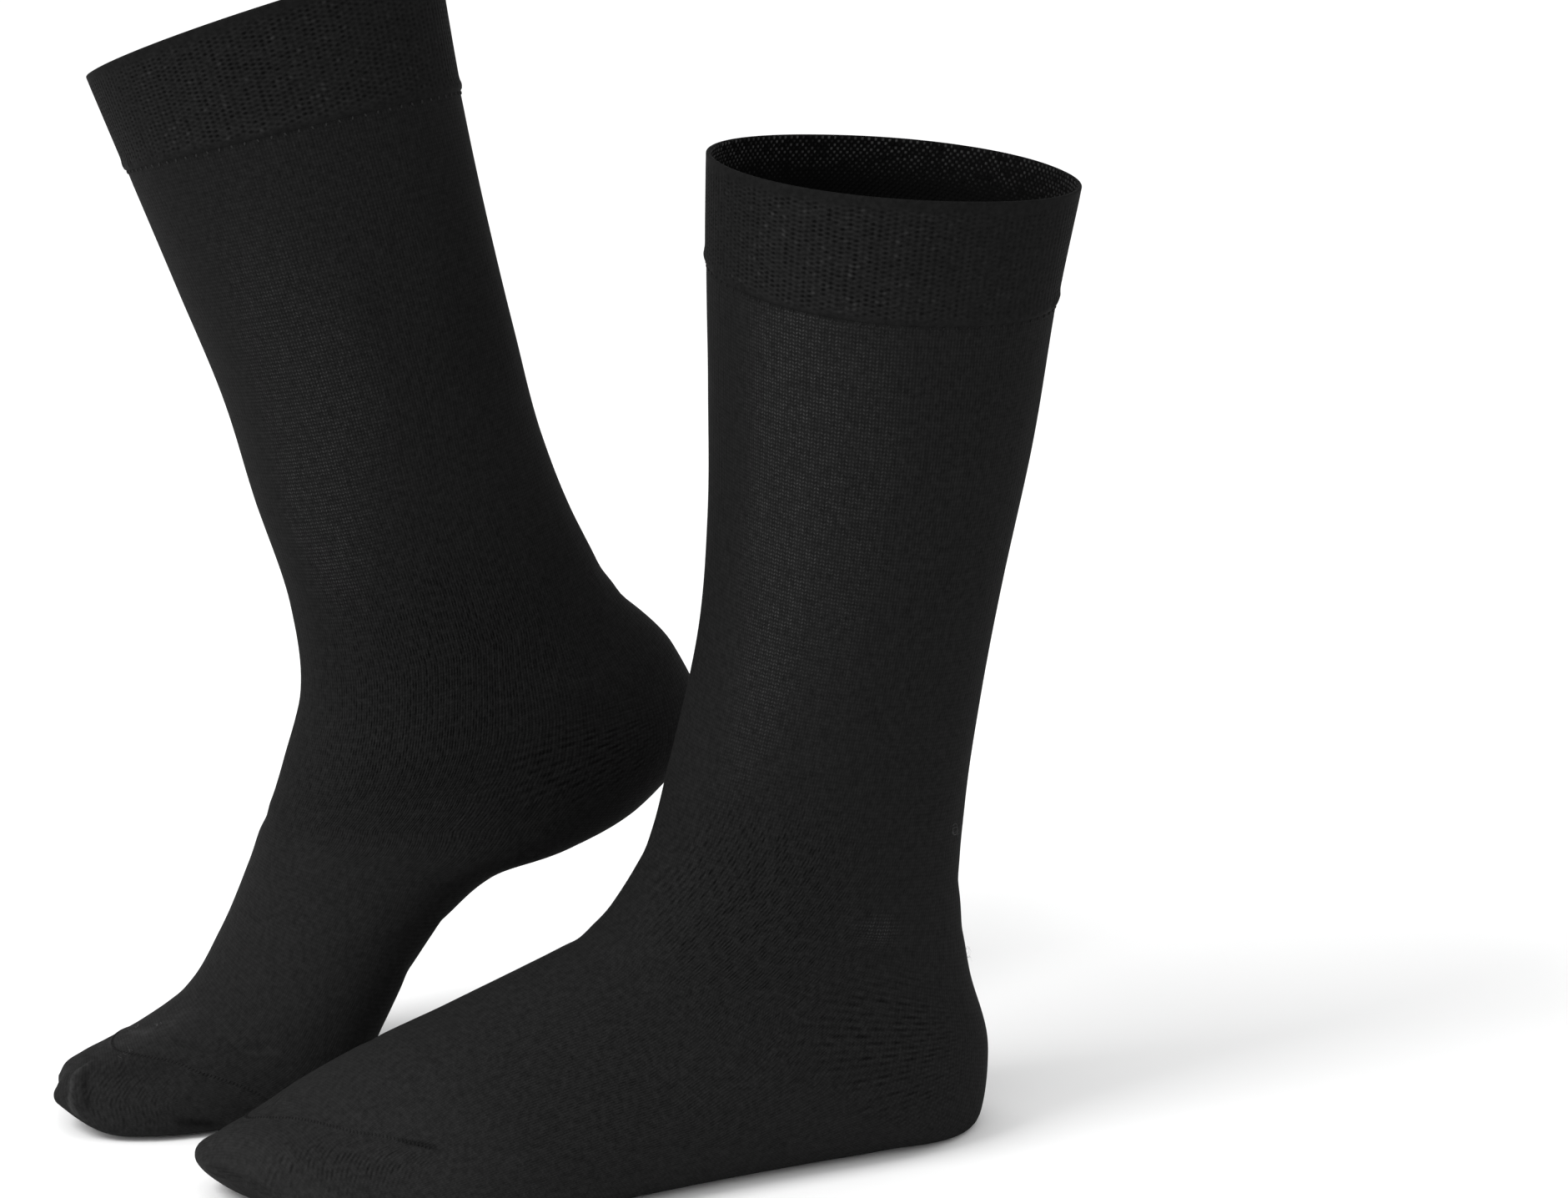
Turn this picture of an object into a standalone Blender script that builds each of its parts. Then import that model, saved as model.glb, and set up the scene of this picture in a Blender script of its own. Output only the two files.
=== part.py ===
"""A pair of plain crew socks, filled out as if on two feet: one flat on the floor, one raised on its toes.

A sock is knitted as one tube, from the rim of the cuff to the tip of the toe. Here the tube is a run of
rings. Each ring joins a point on the front line of the sock (shin, then top of the foot) to a point on its
back line (calf, then heel and sole). Both socks have the same cut, so rings with the same "along" are the same
courses of knitting, and only their places differ. The tube is parted where the knitter changes the fabric,
into a cuff, leg, heel, foot and toe, and each of these is a closed wall of its own.

Lengths in the tables and named sizes are in millimetres. Blender's units are metres.
"""

import math

import bmesh
import bpy
from mathutils import Vector

MM = 0.001

# In the sock's own middle plane, x runs to the toes and z up from the floor. "along" counts courses of
# knitting from the rim, about one to a millimetre. "half" is the half-width of the ring, and "roll" is how far
# its side rises at the big toe's side and drops at the other.
COLUMNS = ("along", "front_x", "front_z", "back_x", "back_z", "half", "roll")

FLAT_SOCK = (
    (0, 54.0, 292.5, -51.5, 282.5, 49.0, 0.5),
    (38, 54.5, 260.0, -44.5, 251.5, 47.0, 4.0),
    (76, 54.0, 223.0, -37.5, 210.0, 46.0, 2.0),
    (112, 54.5, 187.0, -28.5, 168.0, 43.0, 1.0),
    (146, 58.5, 153.0, -23.0, 134.0, 38.5, 0.0),
    (178, 68.0, 117.0, -19.0, 101.0, 35.5, 0.0),
    (206, 76.5, 91.0, -18.0, 73.0, 34.0, 0.0),
    (226, 87.0, 76.5, -21.5, 48.0, 34.0, 0.0),
    (244, 94.0, 71.0, -28.0, 22.0, 34.0, 0.0),
    (262, 98.0, 68.5, -21.5, -5.0, 34.5, 0.0),
    (280, 102.0, 67.0, 4.0, -7.0, 35.0, 0.0),
    (298, 107.0, 65.0, 32.0, -7.0, 35.5, 0.0),
    (318, 117.0, 61.0, 60.0, -7.0, 37.0, 0.0),
    (344, 136.0, 53.5, 92.0, -7.0, 39.5, 0.0),
    (370, 156.0, 45.0, 122.0, -7.0, 42.0, 0.0),
    (392, 172.0, 36.0, 147.0, -7.0, 41.0, 0.0),
    (408, 184.0, 28.0, 168.0, -7.0, 37.5, 0.0),
    (418, 193.0, 24.5, 184.0, -4.0, 32.0, 0.0),
    (424, 199.5, 21.0, 196.0, 4.0, 25.0, 0.0),
    (428, 203.5, 15.0, 202.5, 10.0, 13.5, 0.0),
)
RAISED_SOCK = (
    (0, 28.5, 313.5, -71.5, 335.0, 49.0, 16.5),
    (38, 17.5, 284.0, -78.0, 298.0, 47.0, 12.5),
    (76, 3.0, 246.0, -85.5, 262.0, 46.0, 9.5),
    (112, -9.5, 212.0, -94.5, 226.0, 43.0, 6.0),
    (146, -18.0, 180.0, -103.0, 196.0, 38.5, 3.0),
    (178, -28.0, 146.0, -115.0, 167.0, 35.5, 1.0),
    (206, -30.0, 118.0, -129.5, 143.0, 34.0, 0.0),
    (226, -24.0, 99.0, -147.0, 124.0, 34.0, 0.0),
    (244, -21.0, 91.0, -155.0, 100.0, 34.0, 0.0),
    (262, -19.0, 86.0, -137.0, 79.0, 34.0, 0.0),
    (280, -18.0, 82.0, -113.0, 69.0, 34.5, 0.0),
    (298, -16.0, 77.0, -86.0, 64.0, 35.0, 0.0),
    (318, -13.0, 67.0, -65.0, 49.0, 36.0, 0.0),
    (344, -4.0, 47.0, -47.0, 21.5, 37.0, 0.0),
    (370, 8.5, 32.0, -34.5, -7.0, 37.0, 0.0),
    (392, 25.0, 23.0, -9.0, -7.0, 35.0, 0.0),
    (408, 38.0, 18.5, 12.0, -7.0, 31.0, 0.0),
    (418, 45.0, 16.5, 28.0, -5.0, 25.0, 0.0),
    (424, 50.0, 14.0, 39.0, 2.0, 19.0, 0.0),
    (428, 52.0, 11.0, 48.0, 7.0, 11.0, 0.0),
)

# Each knitted area in working order. "start" and "end" are courses, "wall" is the cloth's thickness, "proud"
# is how far its face stands out from the tube, and "steps" is how many rows of faces run along it.
AREA_COLUMNS = ("name", "start", "end", "wall", "proud", "steps")
AREAS = (
    ("cuff", 0, 38, 2.2, 0.6, 4),
    ("leg", 38, 214, 1.2, 0.0, 9),
    ("heel", 214, 306, 1.4, 0.0, 12),
    ("foot", 306, 384, 1.2, 0.0, 6),
    ("toe", 384, 428, 1.4, 0.0, 9),
)

# Each sock's name, rings, place of its foot line on the floor, turn toward the front in degrees, and the side
# its big toe is on, as the sign of Y. Both face -X.
PAIR_COLUMNS = ("name", "rings", "at_x", "at_y", "turn", "big_toe")
PAIR = (
    ("front", FLAT_SOCK, 0.0, 0.0, 0.0, 1),
    ("rear", RAISED_SOCK, -176.0, 101.5, 0.8, -1),
)
CENTRE = (-89.2, 50.9)

AROUND = 36
SQUARENESS = 2.15
SEAM_GAP = 0.3
RIM_CROWN = 0.9
TIP_CROWN = 1.2

# Below the instep a ring is slimmer at the top than at the sole.
NARROW_TOP = 0.17
NARROW_START, NARROW_END = 190.0, 310.0

# The toe end slants, because the sock reaches furthest over the big toe, and dips a little beside it.
TOE_SLANT = 0.42
SLANT_START, SLANT_END = 340.0, 428.0
TOE_DIP = 2.0
DIP_HALF_WIDTH = 6.0
DIP_START, DIP_END = 404.0, 428.0

# The tables run the sole below the floor. It is flattened onto the floor over this much either side.
SETTLE = 5.0

KNIT_BLACK = (0.010, 0.010, 0.011, 1.0)
KNIT_ROUGHNESS = 0.95


def named(columns, row):
    """A table row as a dictionary of its named columns."""
    return dict(zip(columns, row))


def ease(start, end, value):
    """0 at start, 1 at end, with a soft change between them."""
    share = min(max((value - start) / (end - start), 0.0), 1.0)
    return share * share * (3.0 - 2.0 * share)


def slopes(knots, values):
    """The slope of a smooth curve at each knot."""
    gaps = [b - a for a, b in zip(knots, knots[1:])]
    rises = [(b - a) / gap for a, b, gap in zip(values, values[1:], gaps)]
    inner = [
        (rises[i - 1] * gaps[i] + rises[i] * gaps[i - 1]) / (gaps[i - 1] + gaps[i])
        for i in range(1, len(rises))
    ]
    return [rises[0], *inner, rises[-1]]


def smooth_value(knots, values, steepness, at):
    """The height at one place of the smooth curve through the knots."""
    last = len(knots) - 2
    i = max(k for k in range(last + 1) if k == 0 or knots[k] <= at)
    gap = knots[i + 1] - knots[i]
    s = (at - knots[i]) / gap
    rise = values[i] * (1 + 2 * s) * (1 - s) ** 2 + values[i + 1] * s * s * (3 - 2 * s)
    bend = steepness[i] * s * (1 - s) ** 2 + steepness[i + 1] * s * s * (s - 1)
    return rise + gap * bend


def ring_finder(rows):
    """A function that gives the named sizes of the ring at any course."""
    knots = [row[0] for row in rows]
    curves = {}
    for column, name in enumerate(COLUMNS):
        values = [row[column] for row in rows]
        curves[name] = (values, slopes(knots, values))

    def ring_at(along):
        return {name: smooth_value(knots, *curve, along) for name, curve in curves.items()}

    return ring_at


def signed_power(value, power):
    """A power that keeps the sign, for rings a little squarer than an ellipse."""
    return math.copysign(abs(value) ** power, value)


def settled(z):
    """A height after the sole has met the floor and flattened."""
    if z >= SETTLE:
        return z
    if z <= -SETTLE:
        return 0.0
    return (z + SETTLE) ** 2 / (4 * SETTLE)


def tube_point(ring, along, angle):
    """A point of the tube in the sock's own axes: x to the toes, y to the big toe's side, z up.

    The angle is 0 on the front line and a half turn on the back line.
    """
    power = 2.0 / SQUARENESS
    forward = signed_power(math.cos(angle), power)
    sideways = signed_power(math.sin(angle), power)
    narrow = NARROW_TOP * ease(NARROW_START, NARROW_END, along)
    slant = TOE_SLANT * ease(SLANT_START, SLANT_END, along)
    dip = TOE_DIP * ease(DIP_START, DIP_END, along)
    y = ring["half"] * sideways * (1 - narrow * forward)
    x = (ring["front_x"] + ring["back_x"]) / 2 + (ring["front_x"] - ring["back_x"]) / 2 * forward
    z = (ring["front_z"] + ring["back_z"]) / 2 + (ring["front_z"] - ring["back_z"]) / 2 * forward
    x += slant * y - dip * math.exp(-((y / DIP_HALF_WIDTH) ** 2))
    z += ring["roll"] * sideways
    return Vector((x, y, settled(z)))


def tube_grid(ring_at, courses):
    """Rings of points on the tube, one for each course in the list."""
    angles = [2 * math.pi * k / AROUND for k in range(AROUND)]
    grid = []
    for along in courses:
        ring = ring_at(along)
        grid.append([tube_point(ring, along, angle) for angle in angles])
    return grid


def along_directions(ring_at, courses):
    """The unit direction toward the toe at every point of the grid."""
    low, high = AREAS[0][1], AREAS[-1][2]
    before = tube_grid(ring_at, [max(c - 0.5, low) for c in courses])
    after = tube_grid(ring_at, [min(c + 0.5, high) for c in courses])
    return [[(b - a).normalized() for a, b in zip(*pair)] for pair in zip(before, after)]


def outward_normals(grid, directions):
    """The unit direction out of the sock at every point of the grid."""
    normals = []
    for ring, ahead in zip(grid, directions):
        row = []
        for k in range(AROUND):
            around = ring[(k + 1) % AROUND] - ring[k - 1]
            row.append(ahead[k].cross(around).normalized())
        normals.append(row)
    return normals


def moved(grid, directions, distance):
    """The grid with every point moved the same distance along its own direction."""
    return [[p + d * distance for p, d in zip(*rows)] for rows in zip(grid, directions)]


def even_courses(area):
    """The courses at which an area has its rings."""
    steps = area["steps"]
    length = area["end"] - area["start"]
    return [area["start"] + length * k / steps for k in range(steps + 1)]


def part_at_seams(grid, directions, first, last):
    """Draws the end rings back by half a seam gap, except at the rim and the tip."""
    if not first:
        grid[0] = moved([grid[0]], [directions[0]], SEAM_GAP / 2)[0]
    if not last:
        grid[-1] = moved([grid[-1]], [directions[-1]], -SEAM_GAP / 2)[0]
    return grid


def mean_point(points):
    """The middle of a ring of points."""
    return sum(points, Vector()) / len(points)


def rim_crown(outer, inner, directions):
    """The ring along the top of the rim, between its two faces and standing above them."""
    return [(a + b) / 2 - d * RIM_CROWN for a, b, d in zip(outer, inner, directions)]


def wall_of_area(ring_at, area):
    """The closed wall of one area, as rings in order round its section, and its tip points if it has them."""
    courses = even_courses(area)
    first = area["start"] == AREAS[0][1]
    last = area["end"] == AREAS[-1][2]
    grid = tube_grid(ring_at, courses)
    directions = along_directions(ring_at, courses)
    normals = outward_normals(grid, directions)
    grid = part_at_seams(grid, directions, first, last)
    outer = moved(grid, normals, area["proud"])
    inner = moved(outer, normals, -area["wall"])
    if last:
        ahead = Vector((1.0, 0.0, 0.0))
        outer_tip = mean_point(outer[-1]) + ahead * TIP_CROWN
        tips = (outer_tip, outer_tip - ahead * area["wall"])
        return outer[::-1] + inner, tips
    rings = outer + inner[::-1]
    if first:
        rings.append(rim_crown(outer[0], inner[0], directions[0]))
    return rings, None


def wall_faces(ring_count, closed_on_itself):
    """Quads between neighbouring rings, and fans of triangles to the two tip points where there are any."""
    faces = []
    pairs = ring_count if closed_on_itself else ring_count - 1
    for r in range(pairs):
        a, b = r * AROUND, (r + 1) % ring_count * AROUND
        for k in range(AROUND):
            n = (k + 1) % AROUND
            faces.append((a + k, a + n, b + n, b + k))
    if not closed_on_itself:
        first_tip = ring_count * AROUND
        last_ring = (ring_count - 1) * AROUND
        for k in range(AROUND):
            n = (k + 1) % AROUND
            faces.append((first_tip, n, k))
            faces.append((first_tip + 1, last_ring + k, last_ring + n))
    return faces


def placed(point, sock):
    """A point of the sock's own axes, in the pair's axes and in metres."""
    turn = math.radians(sock["turn"])
    side = -sock["big_toe"] * point.y
    x = sock["at_x"] - point.x * math.cos(turn) + side * math.sin(turn)
    y = sock["at_y"] - point.x * math.sin(turn) - side * math.cos(turn)
    return Vector((x - CENTRE[0], y - CENTRE[1], point.z)) * MM


def knit_material(name):
    """A plain matt black fabric."""
    material = bpy.data.materials.new(name)
    material.use_nodes = True
    shader = material.node_tree.nodes["Principled BSDF"]
    shader.inputs["Base Color"].default_value = KNIT_BLACK
    shader.inputs["Roughness"].default_value = KNIT_ROUGHNESS
    shader.inputs["Metallic"].default_value = 0.0
    material.diffuse_color = KNIT_BLACK
    return material


def add_object(name, vertices, faces):
    """A named object with its own material, its faces turned outward."""
    mesh = bpy.data.meshes.new(name)
    mesh.from_pydata(vertices, [], faces)
    work = bmesh.new()
    work.from_mesh(mesh)
    bmesh.ops.recalc_face_normals(work, faces=work.faces)
    work.to_mesh(mesh)
    work.free()
    for polygon in mesh.polygons:
        polygon.use_smooth = True
    mesh.materials.append(knit_material(name))
    thing = bpy.data.objects.new(name, mesh)
    bpy.context.collection.objects.link(thing)
    return thing


def build_sock(sock):
    """One sock: five walls, each with its own name."""
    ring_at = ring_finder(sock["rings"])
    for row in AREAS:
        area = named(AREA_COLUMNS, row)
        rings, tips = wall_of_area(ring_at, area)
        points = [point for ring in rings for point in ring]
        points.extend(tips or ())
        faces = wall_faces(len(rings), tips is None)
        add_object(f"{sock['name']}_{area['name']}", [placed(p, sock) for p in points], faces)


def clear_scene():
    """Removes the objects that a new file starts with."""
    for thing in list(bpy.data.objects):
        bpy.data.objects.remove(thing, do_unlink=True)


def main():
    clear_scene()
    for row in PAIR:
        build_sock(named(PAIR_COLUMNS, row))


main()
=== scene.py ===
"""The looks of a pair of plain black crew socks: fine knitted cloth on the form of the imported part.

Each area of each sock (cuff, leg, heel, foot and toe) is one thin sheet of knitting, which stands for the
solid wall of the same name. A sheet is a grid of points. Its rows are courses of knitting, and its columns
follow the wales, the stitch columns that run from the rim to the toe. The sheets of a sock share their end
rings, so the cloth runs on from one to the next. Ribs, mesh, seams and creases are moved out of, or into,
that grid.

Lengths in the tables and named sizes are in millimetres, and angles round a sock in degrees: 0 on its front
line (shin, then top of the foot), 180 on its back line, positive on the big toe's side. A place on a sock is
(course, angle), where the course is how far it is from the rim along the sock.
"""

import math

import bpy
import numpy as np
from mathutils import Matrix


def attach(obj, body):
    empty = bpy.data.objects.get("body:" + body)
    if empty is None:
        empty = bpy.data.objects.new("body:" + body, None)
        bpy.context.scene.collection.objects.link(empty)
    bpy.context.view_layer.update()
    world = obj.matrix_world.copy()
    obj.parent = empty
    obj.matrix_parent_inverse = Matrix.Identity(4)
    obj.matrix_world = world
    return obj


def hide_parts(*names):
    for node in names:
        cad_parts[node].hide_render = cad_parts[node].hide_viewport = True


MM = 0.001

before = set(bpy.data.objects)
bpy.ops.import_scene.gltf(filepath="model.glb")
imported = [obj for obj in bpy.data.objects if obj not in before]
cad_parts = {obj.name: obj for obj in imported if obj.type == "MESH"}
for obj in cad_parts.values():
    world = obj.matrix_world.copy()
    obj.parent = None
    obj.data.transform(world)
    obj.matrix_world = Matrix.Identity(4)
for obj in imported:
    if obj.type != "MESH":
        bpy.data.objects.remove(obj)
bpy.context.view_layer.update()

# ======== The form ========
# It repeats the rings of the part's own source, because that file can't be read from here.

RING_COLUMNS = ("along", "front_x", "front_z", "back_x", "back_z", "half", "roll")
FLAT_SOCK = (
    (0, 54, 292.5, -51.5, 282.5, 49, 0.5),
    (38, 54.5, 260, -44.5, 251.5, 47, 4),
    (76, 54, 223, -37.5, 210, 46, 2),
    (112, 54.5, 187, -28.5, 168, 43, 1),
    (146, 58.5, 153, -23, 134, 38.5, 0),
    (178, 68, 117, -19, 101, 35.5, 0),
    (206, 76.5, 91, -18, 73, 34, 0),
    (226, 87, 76.5, -21.5, 48, 34, 0),
    (244, 94, 71, -28, 22, 34, 0),
    (262, 98, 68.5, -21.5, -5, 34.5, 0),
    (280, 102, 67, 4, -7, 35, 0),
    (298, 107, 65, 32, -7, 35.5, 0),
    (318, 117, 61, 60, -7, 37, 0),
    (344, 136, 53.5, 92, -7, 39.5, 0),
    (370, 156, 45, 122, -7, 42, 0),
    (392, 172, 36, 147, -7, 41, 0),
    (408, 184, 28, 168, -7, 37.5, 0),
    (418, 193, 24.5, 184, -4, 32, 0),
    (424, 199.5, 21, 196, 4, 25, 0),
    (428, 203.5, 15, 202.5, 10, 13.5, 0),
)
RAISED_SOCK = (
    (0, 28.5, 313.5, -71.5, 335, 49, 16.5),
    (38, 17.5, 284, -78, 298, 47, 12.5),
    (76, 3, 246, -85.5, 262, 46, 9.5),
    (112, -9.5, 212, -94.5, 226, 43, 6),
    (146, -18, 180, -103, 196, 38.5, 3),
    (178, -28, 146, -115, 167, 35.5, 1),
    (206, -30, 118, -129.5, 143, 34, 0),
    (226, -24, 99, -147, 124, 34, 0),
    (244, -21, 91, -155, 100, 34, 0),
    (262, -19, 86, -137, 79, 34, 0),
    (280, -18, 82, -113, 69, 34.5, 0),
    (298, -16, 77, -86, 64, 35, 0),
    (318, -13, 67, -65, 49, 36, 0),
    (344, -4, 47, -47, 21.5, 37, 0),
    (370, 8.5, 32, -34.5, -7, 37, 0),
    (392, 25, 23, -9, -7, 35, 0),
    (408, 38, 18.5, 12, -7, 31, 0),
    (418, 45, 16.5, 28, -5, 25, 0),
    (424, 50, 14, 39, 2, 19, 0),
    (428, 52, 11, 48, 7, 11, 0),
)
TUBE_END = 428.0

# Each sock's place on the floor, its turn toward the front in degrees, and the side its big toe is on.
PAIR_COLUMNS = ("name", "rings", "at_x", "at_y", "turn", "big_toe")
PAIR = (
    ("front", FLAT_SOCK, 0.0, 0.0, 0.0, 1),
    ("rear", RAISED_SOCK, -176.0, 101.5, 0.8, -1),
)
CENTRE = (-89.2, 50.9)

# How the rings depart from ellipses, as in the part's source.
SQUARENESS = 2.15
NARROW_TOP, NARROW_START, NARROW_END = 0.17, 190.0, 310.0
TOE_SLANT, SLANT_START, SLANT_END = 0.42, 340.0, 428.0
TOE_DIP, DIP_HALF_WIDTH, DIP_START, DIP_END = 2.0, 6.0, 404.0, 428.0
SETTLE = 5.0
TIP_CROWN = 0.9
TIP_RINGS = 8

# ======== The knitting ========

WALES = 156
COLUMNS_PER_WALE = 4
AROUND = WALES * COLUMNS_PER_WALE
COURSE = 1.1

# Each area's first and last course, the rows of its grid, and its cut: how wide all round and how long it is
# knitted, and how much of that oblong is left where it is narrowed.
AREA_COLUMNS = ("name", "start", "end", "rows", "cut_width", "cut_length", "cut_share")
AREAS = (
    ("leg", 38.0, 214.0, 76, 250.0, 176.0, 1.0),
    ("heel", 214.0, 306.0, 80, 270.0, 92.0, 0.9),
    ("foot", 306.0, 384.0, 44, 215.0, 78.0, 1.0),
    ("toe", 384.0, 428.0, 56, 190.0, 56.0, 0.8),
)
# How high the wales stand, from the hem of the cuff to the toe's tip.
WALE_HEIGHT_AT = (38.0, 42.0, 180.0, 230.0, 330.0, 384.0, 404.0, 426.0)
WALE_HEIGHT = (0.0, 0.10, 0.10, 0.07, 0.05, 0.05, 0.03, 0.0)

# The heel's pocket is knitted to and fro on the back of the tube. So it has many more courses there, and the
# wales of the front half of the tube take up less than half of each ring.
POCKET_SHARES = (0.27, 0.73)
FRONT_SHARE_AT = (0.0, 196.0, 226.0, 244.0, 262.0, 285.0, 312.0, 428.0)
FRONT_SHARE = (0.5, 0.5, 0.44, 0.38, 0.38, 0.44, 0.5, 0.5)

# The cuff: a doubled band, folded at the rim, knitted as a mock rib with a small hole between ribs.
CUFF_END = 38.0
CUFF_CUT = (300.0, 78.0, 1.0)
CUFF_OUT, CUFF_IN = 0.4, -0.8
CUFF_COURSE = 1.45
ROWS_PER_HOLE = 3
RIM_PLAIN, HEM_PLAIN = 5.0, 3.5
MESH_EDGE, OUTSIDE_SLACK = 0.5, 0.01
HOLE_DEPTH, HOLE_LEAST, HOLE_UNEVEN, RIB_HEIGHT = 0.24, 0.6, 0.8, 0.03
HEM_TURN, HEM_TURN_OUT, HEM_WIDTH = 0.4, 0.25, 1.0
ROLL_ROWS, ROLL_RISE = 8, 0.5
# Inside: its rows, the loops' height, and how far down from the rim, in millimetres, their painted light
# fades into painted shade.
INNER_ROWS, INNER_LOOP, INNER_PAINTED_LIGHT_FADE = 26, 0.45, 20.0
HEM_SCALLOP, SCALLOP_UP, SCALLOP_HALF = 0.55, 2.2, 1.8
SCALLOP_WALES, SCALLOP_LENGTH = 2, 3.0
# How open the cuff's mesh is round each sock, from 0 to 1: where it is stretched, and elsewhere. It is most
# open on each cuff's lit side, so the painted shade in its holes and painted light on its threads show most
# there.
MESH_COLUMNS = ("angle", "spread", "amount")
MESH_PATCHES = {
    "front": ((-46, 46, 0.95), (70, 60, 0.6)),
    "rear": ((60, 70, 0.9), (-80, 60, 0.6)),
}
MESH_GROUND = 0.12
# How much stronger the painted light on the inside's loops is on its front, the side turned from the key
# light.
INSIDE_FRONT_PAINTED_LIGHT = 1.5


def named(columns, row):
    """A table row as a dictionary of its named columns."""
    return dict(zip(columns, row))


def ease(start, end, value):
    """0 at start, 1 at end, with a soft change between them."""
    share = np.clip((value - start) / (end - start), 0.0, 1.0)
    return share * share * (3.0 - 2.0 * share)


def slopes(knots, values):
    """The slope of a smooth curve at each knot."""
    gaps = np.diff(knots)
    rises = np.diff(values) / gaps
    inner = (rises[:-1] * gaps[1:] + rises[1:] * gaps[:-1]) / (gaps[:-1] + gaps[1:])
    return np.concatenate([rises[:1], inner, rises[-1:]])


def smooth_values(knots, values, at):
    """The heights, at several places, of the smooth curve through the knots."""
    steepness = slopes(knots, values)
    i = np.clip(np.searchsorted(knots, at, side="right") - 1, 0, len(knots) - 2)
    gap = knots[i + 1] - knots[i]
    s = (at - knots[i]) / gap
    rise = values[i] * (1 + 2 * s) * (1 - s) ** 2 + values[i + 1] * s * s * (3 - 2 * s)
    bend = steepness[i] * s * (1 - s) ** 2 + steepness[i + 1] * s * s * (s - 1)
    return rise + gap * bend


def rings_at(sock, along):
    """The named sizes of the rings at an array of courses."""
    rows = np.array(sock["rings"], float)
    return {name: smooth_values(rows[:, 0], rows[:, k], along) for k, name in enumerate(RING_COLUMNS)}


def signed_power(value, power):
    """A power that keeps the sign, for rings a little squarer than an ellipse."""
    return np.sign(value) * np.abs(value) ** power


def settled(z):
    """Heights after the sole has met the floor and flattened."""
    soft = (z + SETTLE) ** 2 / (4 * SETTLE)
    return np.where(z >= SETTLE, z, np.where(z <= -SETTLE, 0.0, soft))


def tube(sock, along, angle):
    """Points of the tube in the sock's own axes: x to the toes, y to the big toe's side, z up."""
    along, angle = np.broadcast_arrays(np.asarray(along, float), np.asarray(angle, float))
    ring = rings_at(sock, along)
    power = 2.0 / SQUARENESS
    forward = signed_power(np.cos(angle), power)
    sideways = signed_power(np.sin(angle), power)
    narrow = NARROW_TOP * ease(NARROW_START, NARROW_END, along)
    slant = TOE_SLANT * ease(SLANT_START, SLANT_END, along)
    dip = TOE_DIP * ease(DIP_START, DIP_END, along)
    y = ring["half"] * sideways * (1 - narrow * forward)
    x = (ring["front_x"] + ring["back_x"]) / 2 + (ring["front_x"] - ring["back_x"]) / 2 * forward
    z = (ring["front_z"] + ring["back_z"]) / 2 + (ring["front_z"] - ring["back_z"]) / 2 * forward
    x = x + slant * y - dip * np.exp(-((y / DIP_HALF_WIDTH) ** 2))
    z = z + ring["roll"] * sideways
    return np.stack([x, y, settled(z)], axis=-1)


RING_SAMPLES = 360
# How far apart two places are that give a direction: in courses, and in radians round the sock.
STEP_ALONG, STEP_ROUND = 0.5, 0.02


def half_spread(along, halves):
    """How far round half a ring its wales are, from 0 on the front line to 1 on the back line."""
    front = np.interp(along, FRONT_SHARE_AT, FRONT_SHARE)[:, None]
    return np.where(halves < 0.5, halves * 2 * front, front + (halves * 2 - 1) * (1 - front))


def wale_angles(sock, along, shares):
    """The angle of each wale on each course, with the wales evenly spaced but for the heel's pocket.

    A share is 0 on the front line and 0.5 on the back line. Each half of a ring is measured on its own, so
    that those two lines stay where they are.
    """
    half_turn = np.linspace(0.0, math.pi, RING_SAMPLES + 1)
    angles = np.empty((len(along), len(shares)))
    for side in (1.0, -1.0):
        points = tube(sock, along[:, None], side * half_turn[None, :])
        steps = np.linalg.norm(np.diff(points, axis=1), axis=2)
        length = np.concatenate([np.zeros((len(along), 1)), np.cumsum(steps, axis=1)], axis=1)
        inside = shares <= 0.5 if side > 0 else shares > 0.5
        halves = shares[inside] * 2 if side > 0 else (1.0 - shares[inside]) * 2
        at = half_spread(along, halves) * length[:, -1:]
        for row in range(len(along)):
            turn = np.interp(at[row], length[row], half_turn)
            angles[row, inside] = turn if side > 0 else 2 * math.pi - turn
    return angles


def unit(vectors):
    """The vectors at length one."""
    return vectors / np.maximum(np.linalg.norm(vectors, axis=-1, keepdims=True), 1e-9)


def directions(sock, along, angle):
    """The directions toward the toe and out of the sock at each point."""
    before = tube(sock, np.maximum(along - STEP_ALONG, 0.0), angle)
    after = tube(sock, np.minimum(along + STEP_ALONG, TUBE_END), angle)
    ahead = after - before
    around = tube(sock, along, angle + STEP_ROUND) - tube(sock, along, angle - STEP_ROUND)
    return unit(ahead), unit(np.cross(ahead, around))


def turned(vectors, sock):
    """Directions of the sock's own axes, in the row frame."""
    turn = math.radians(sock["turn"])
    side = -sock["big_toe"] * vectors[..., 1]
    x = -vectors[..., 0] * math.cos(turn) + side * math.sin(turn)
    y = -vectors[..., 0] * math.sin(turn) - side * math.cos(turn)
    return np.stack([x, y, vectors[..., 2]], axis=-1)


def placed(points, sock):
    """Points of the sock's own axes, in the row frame and in metres."""
    origin = np.array([sock["at_x"] - CENTRE[0], sock["at_y"] - CENTRE[1], 0.0])
    return (turned(points, sock) + origin) * MM
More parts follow.
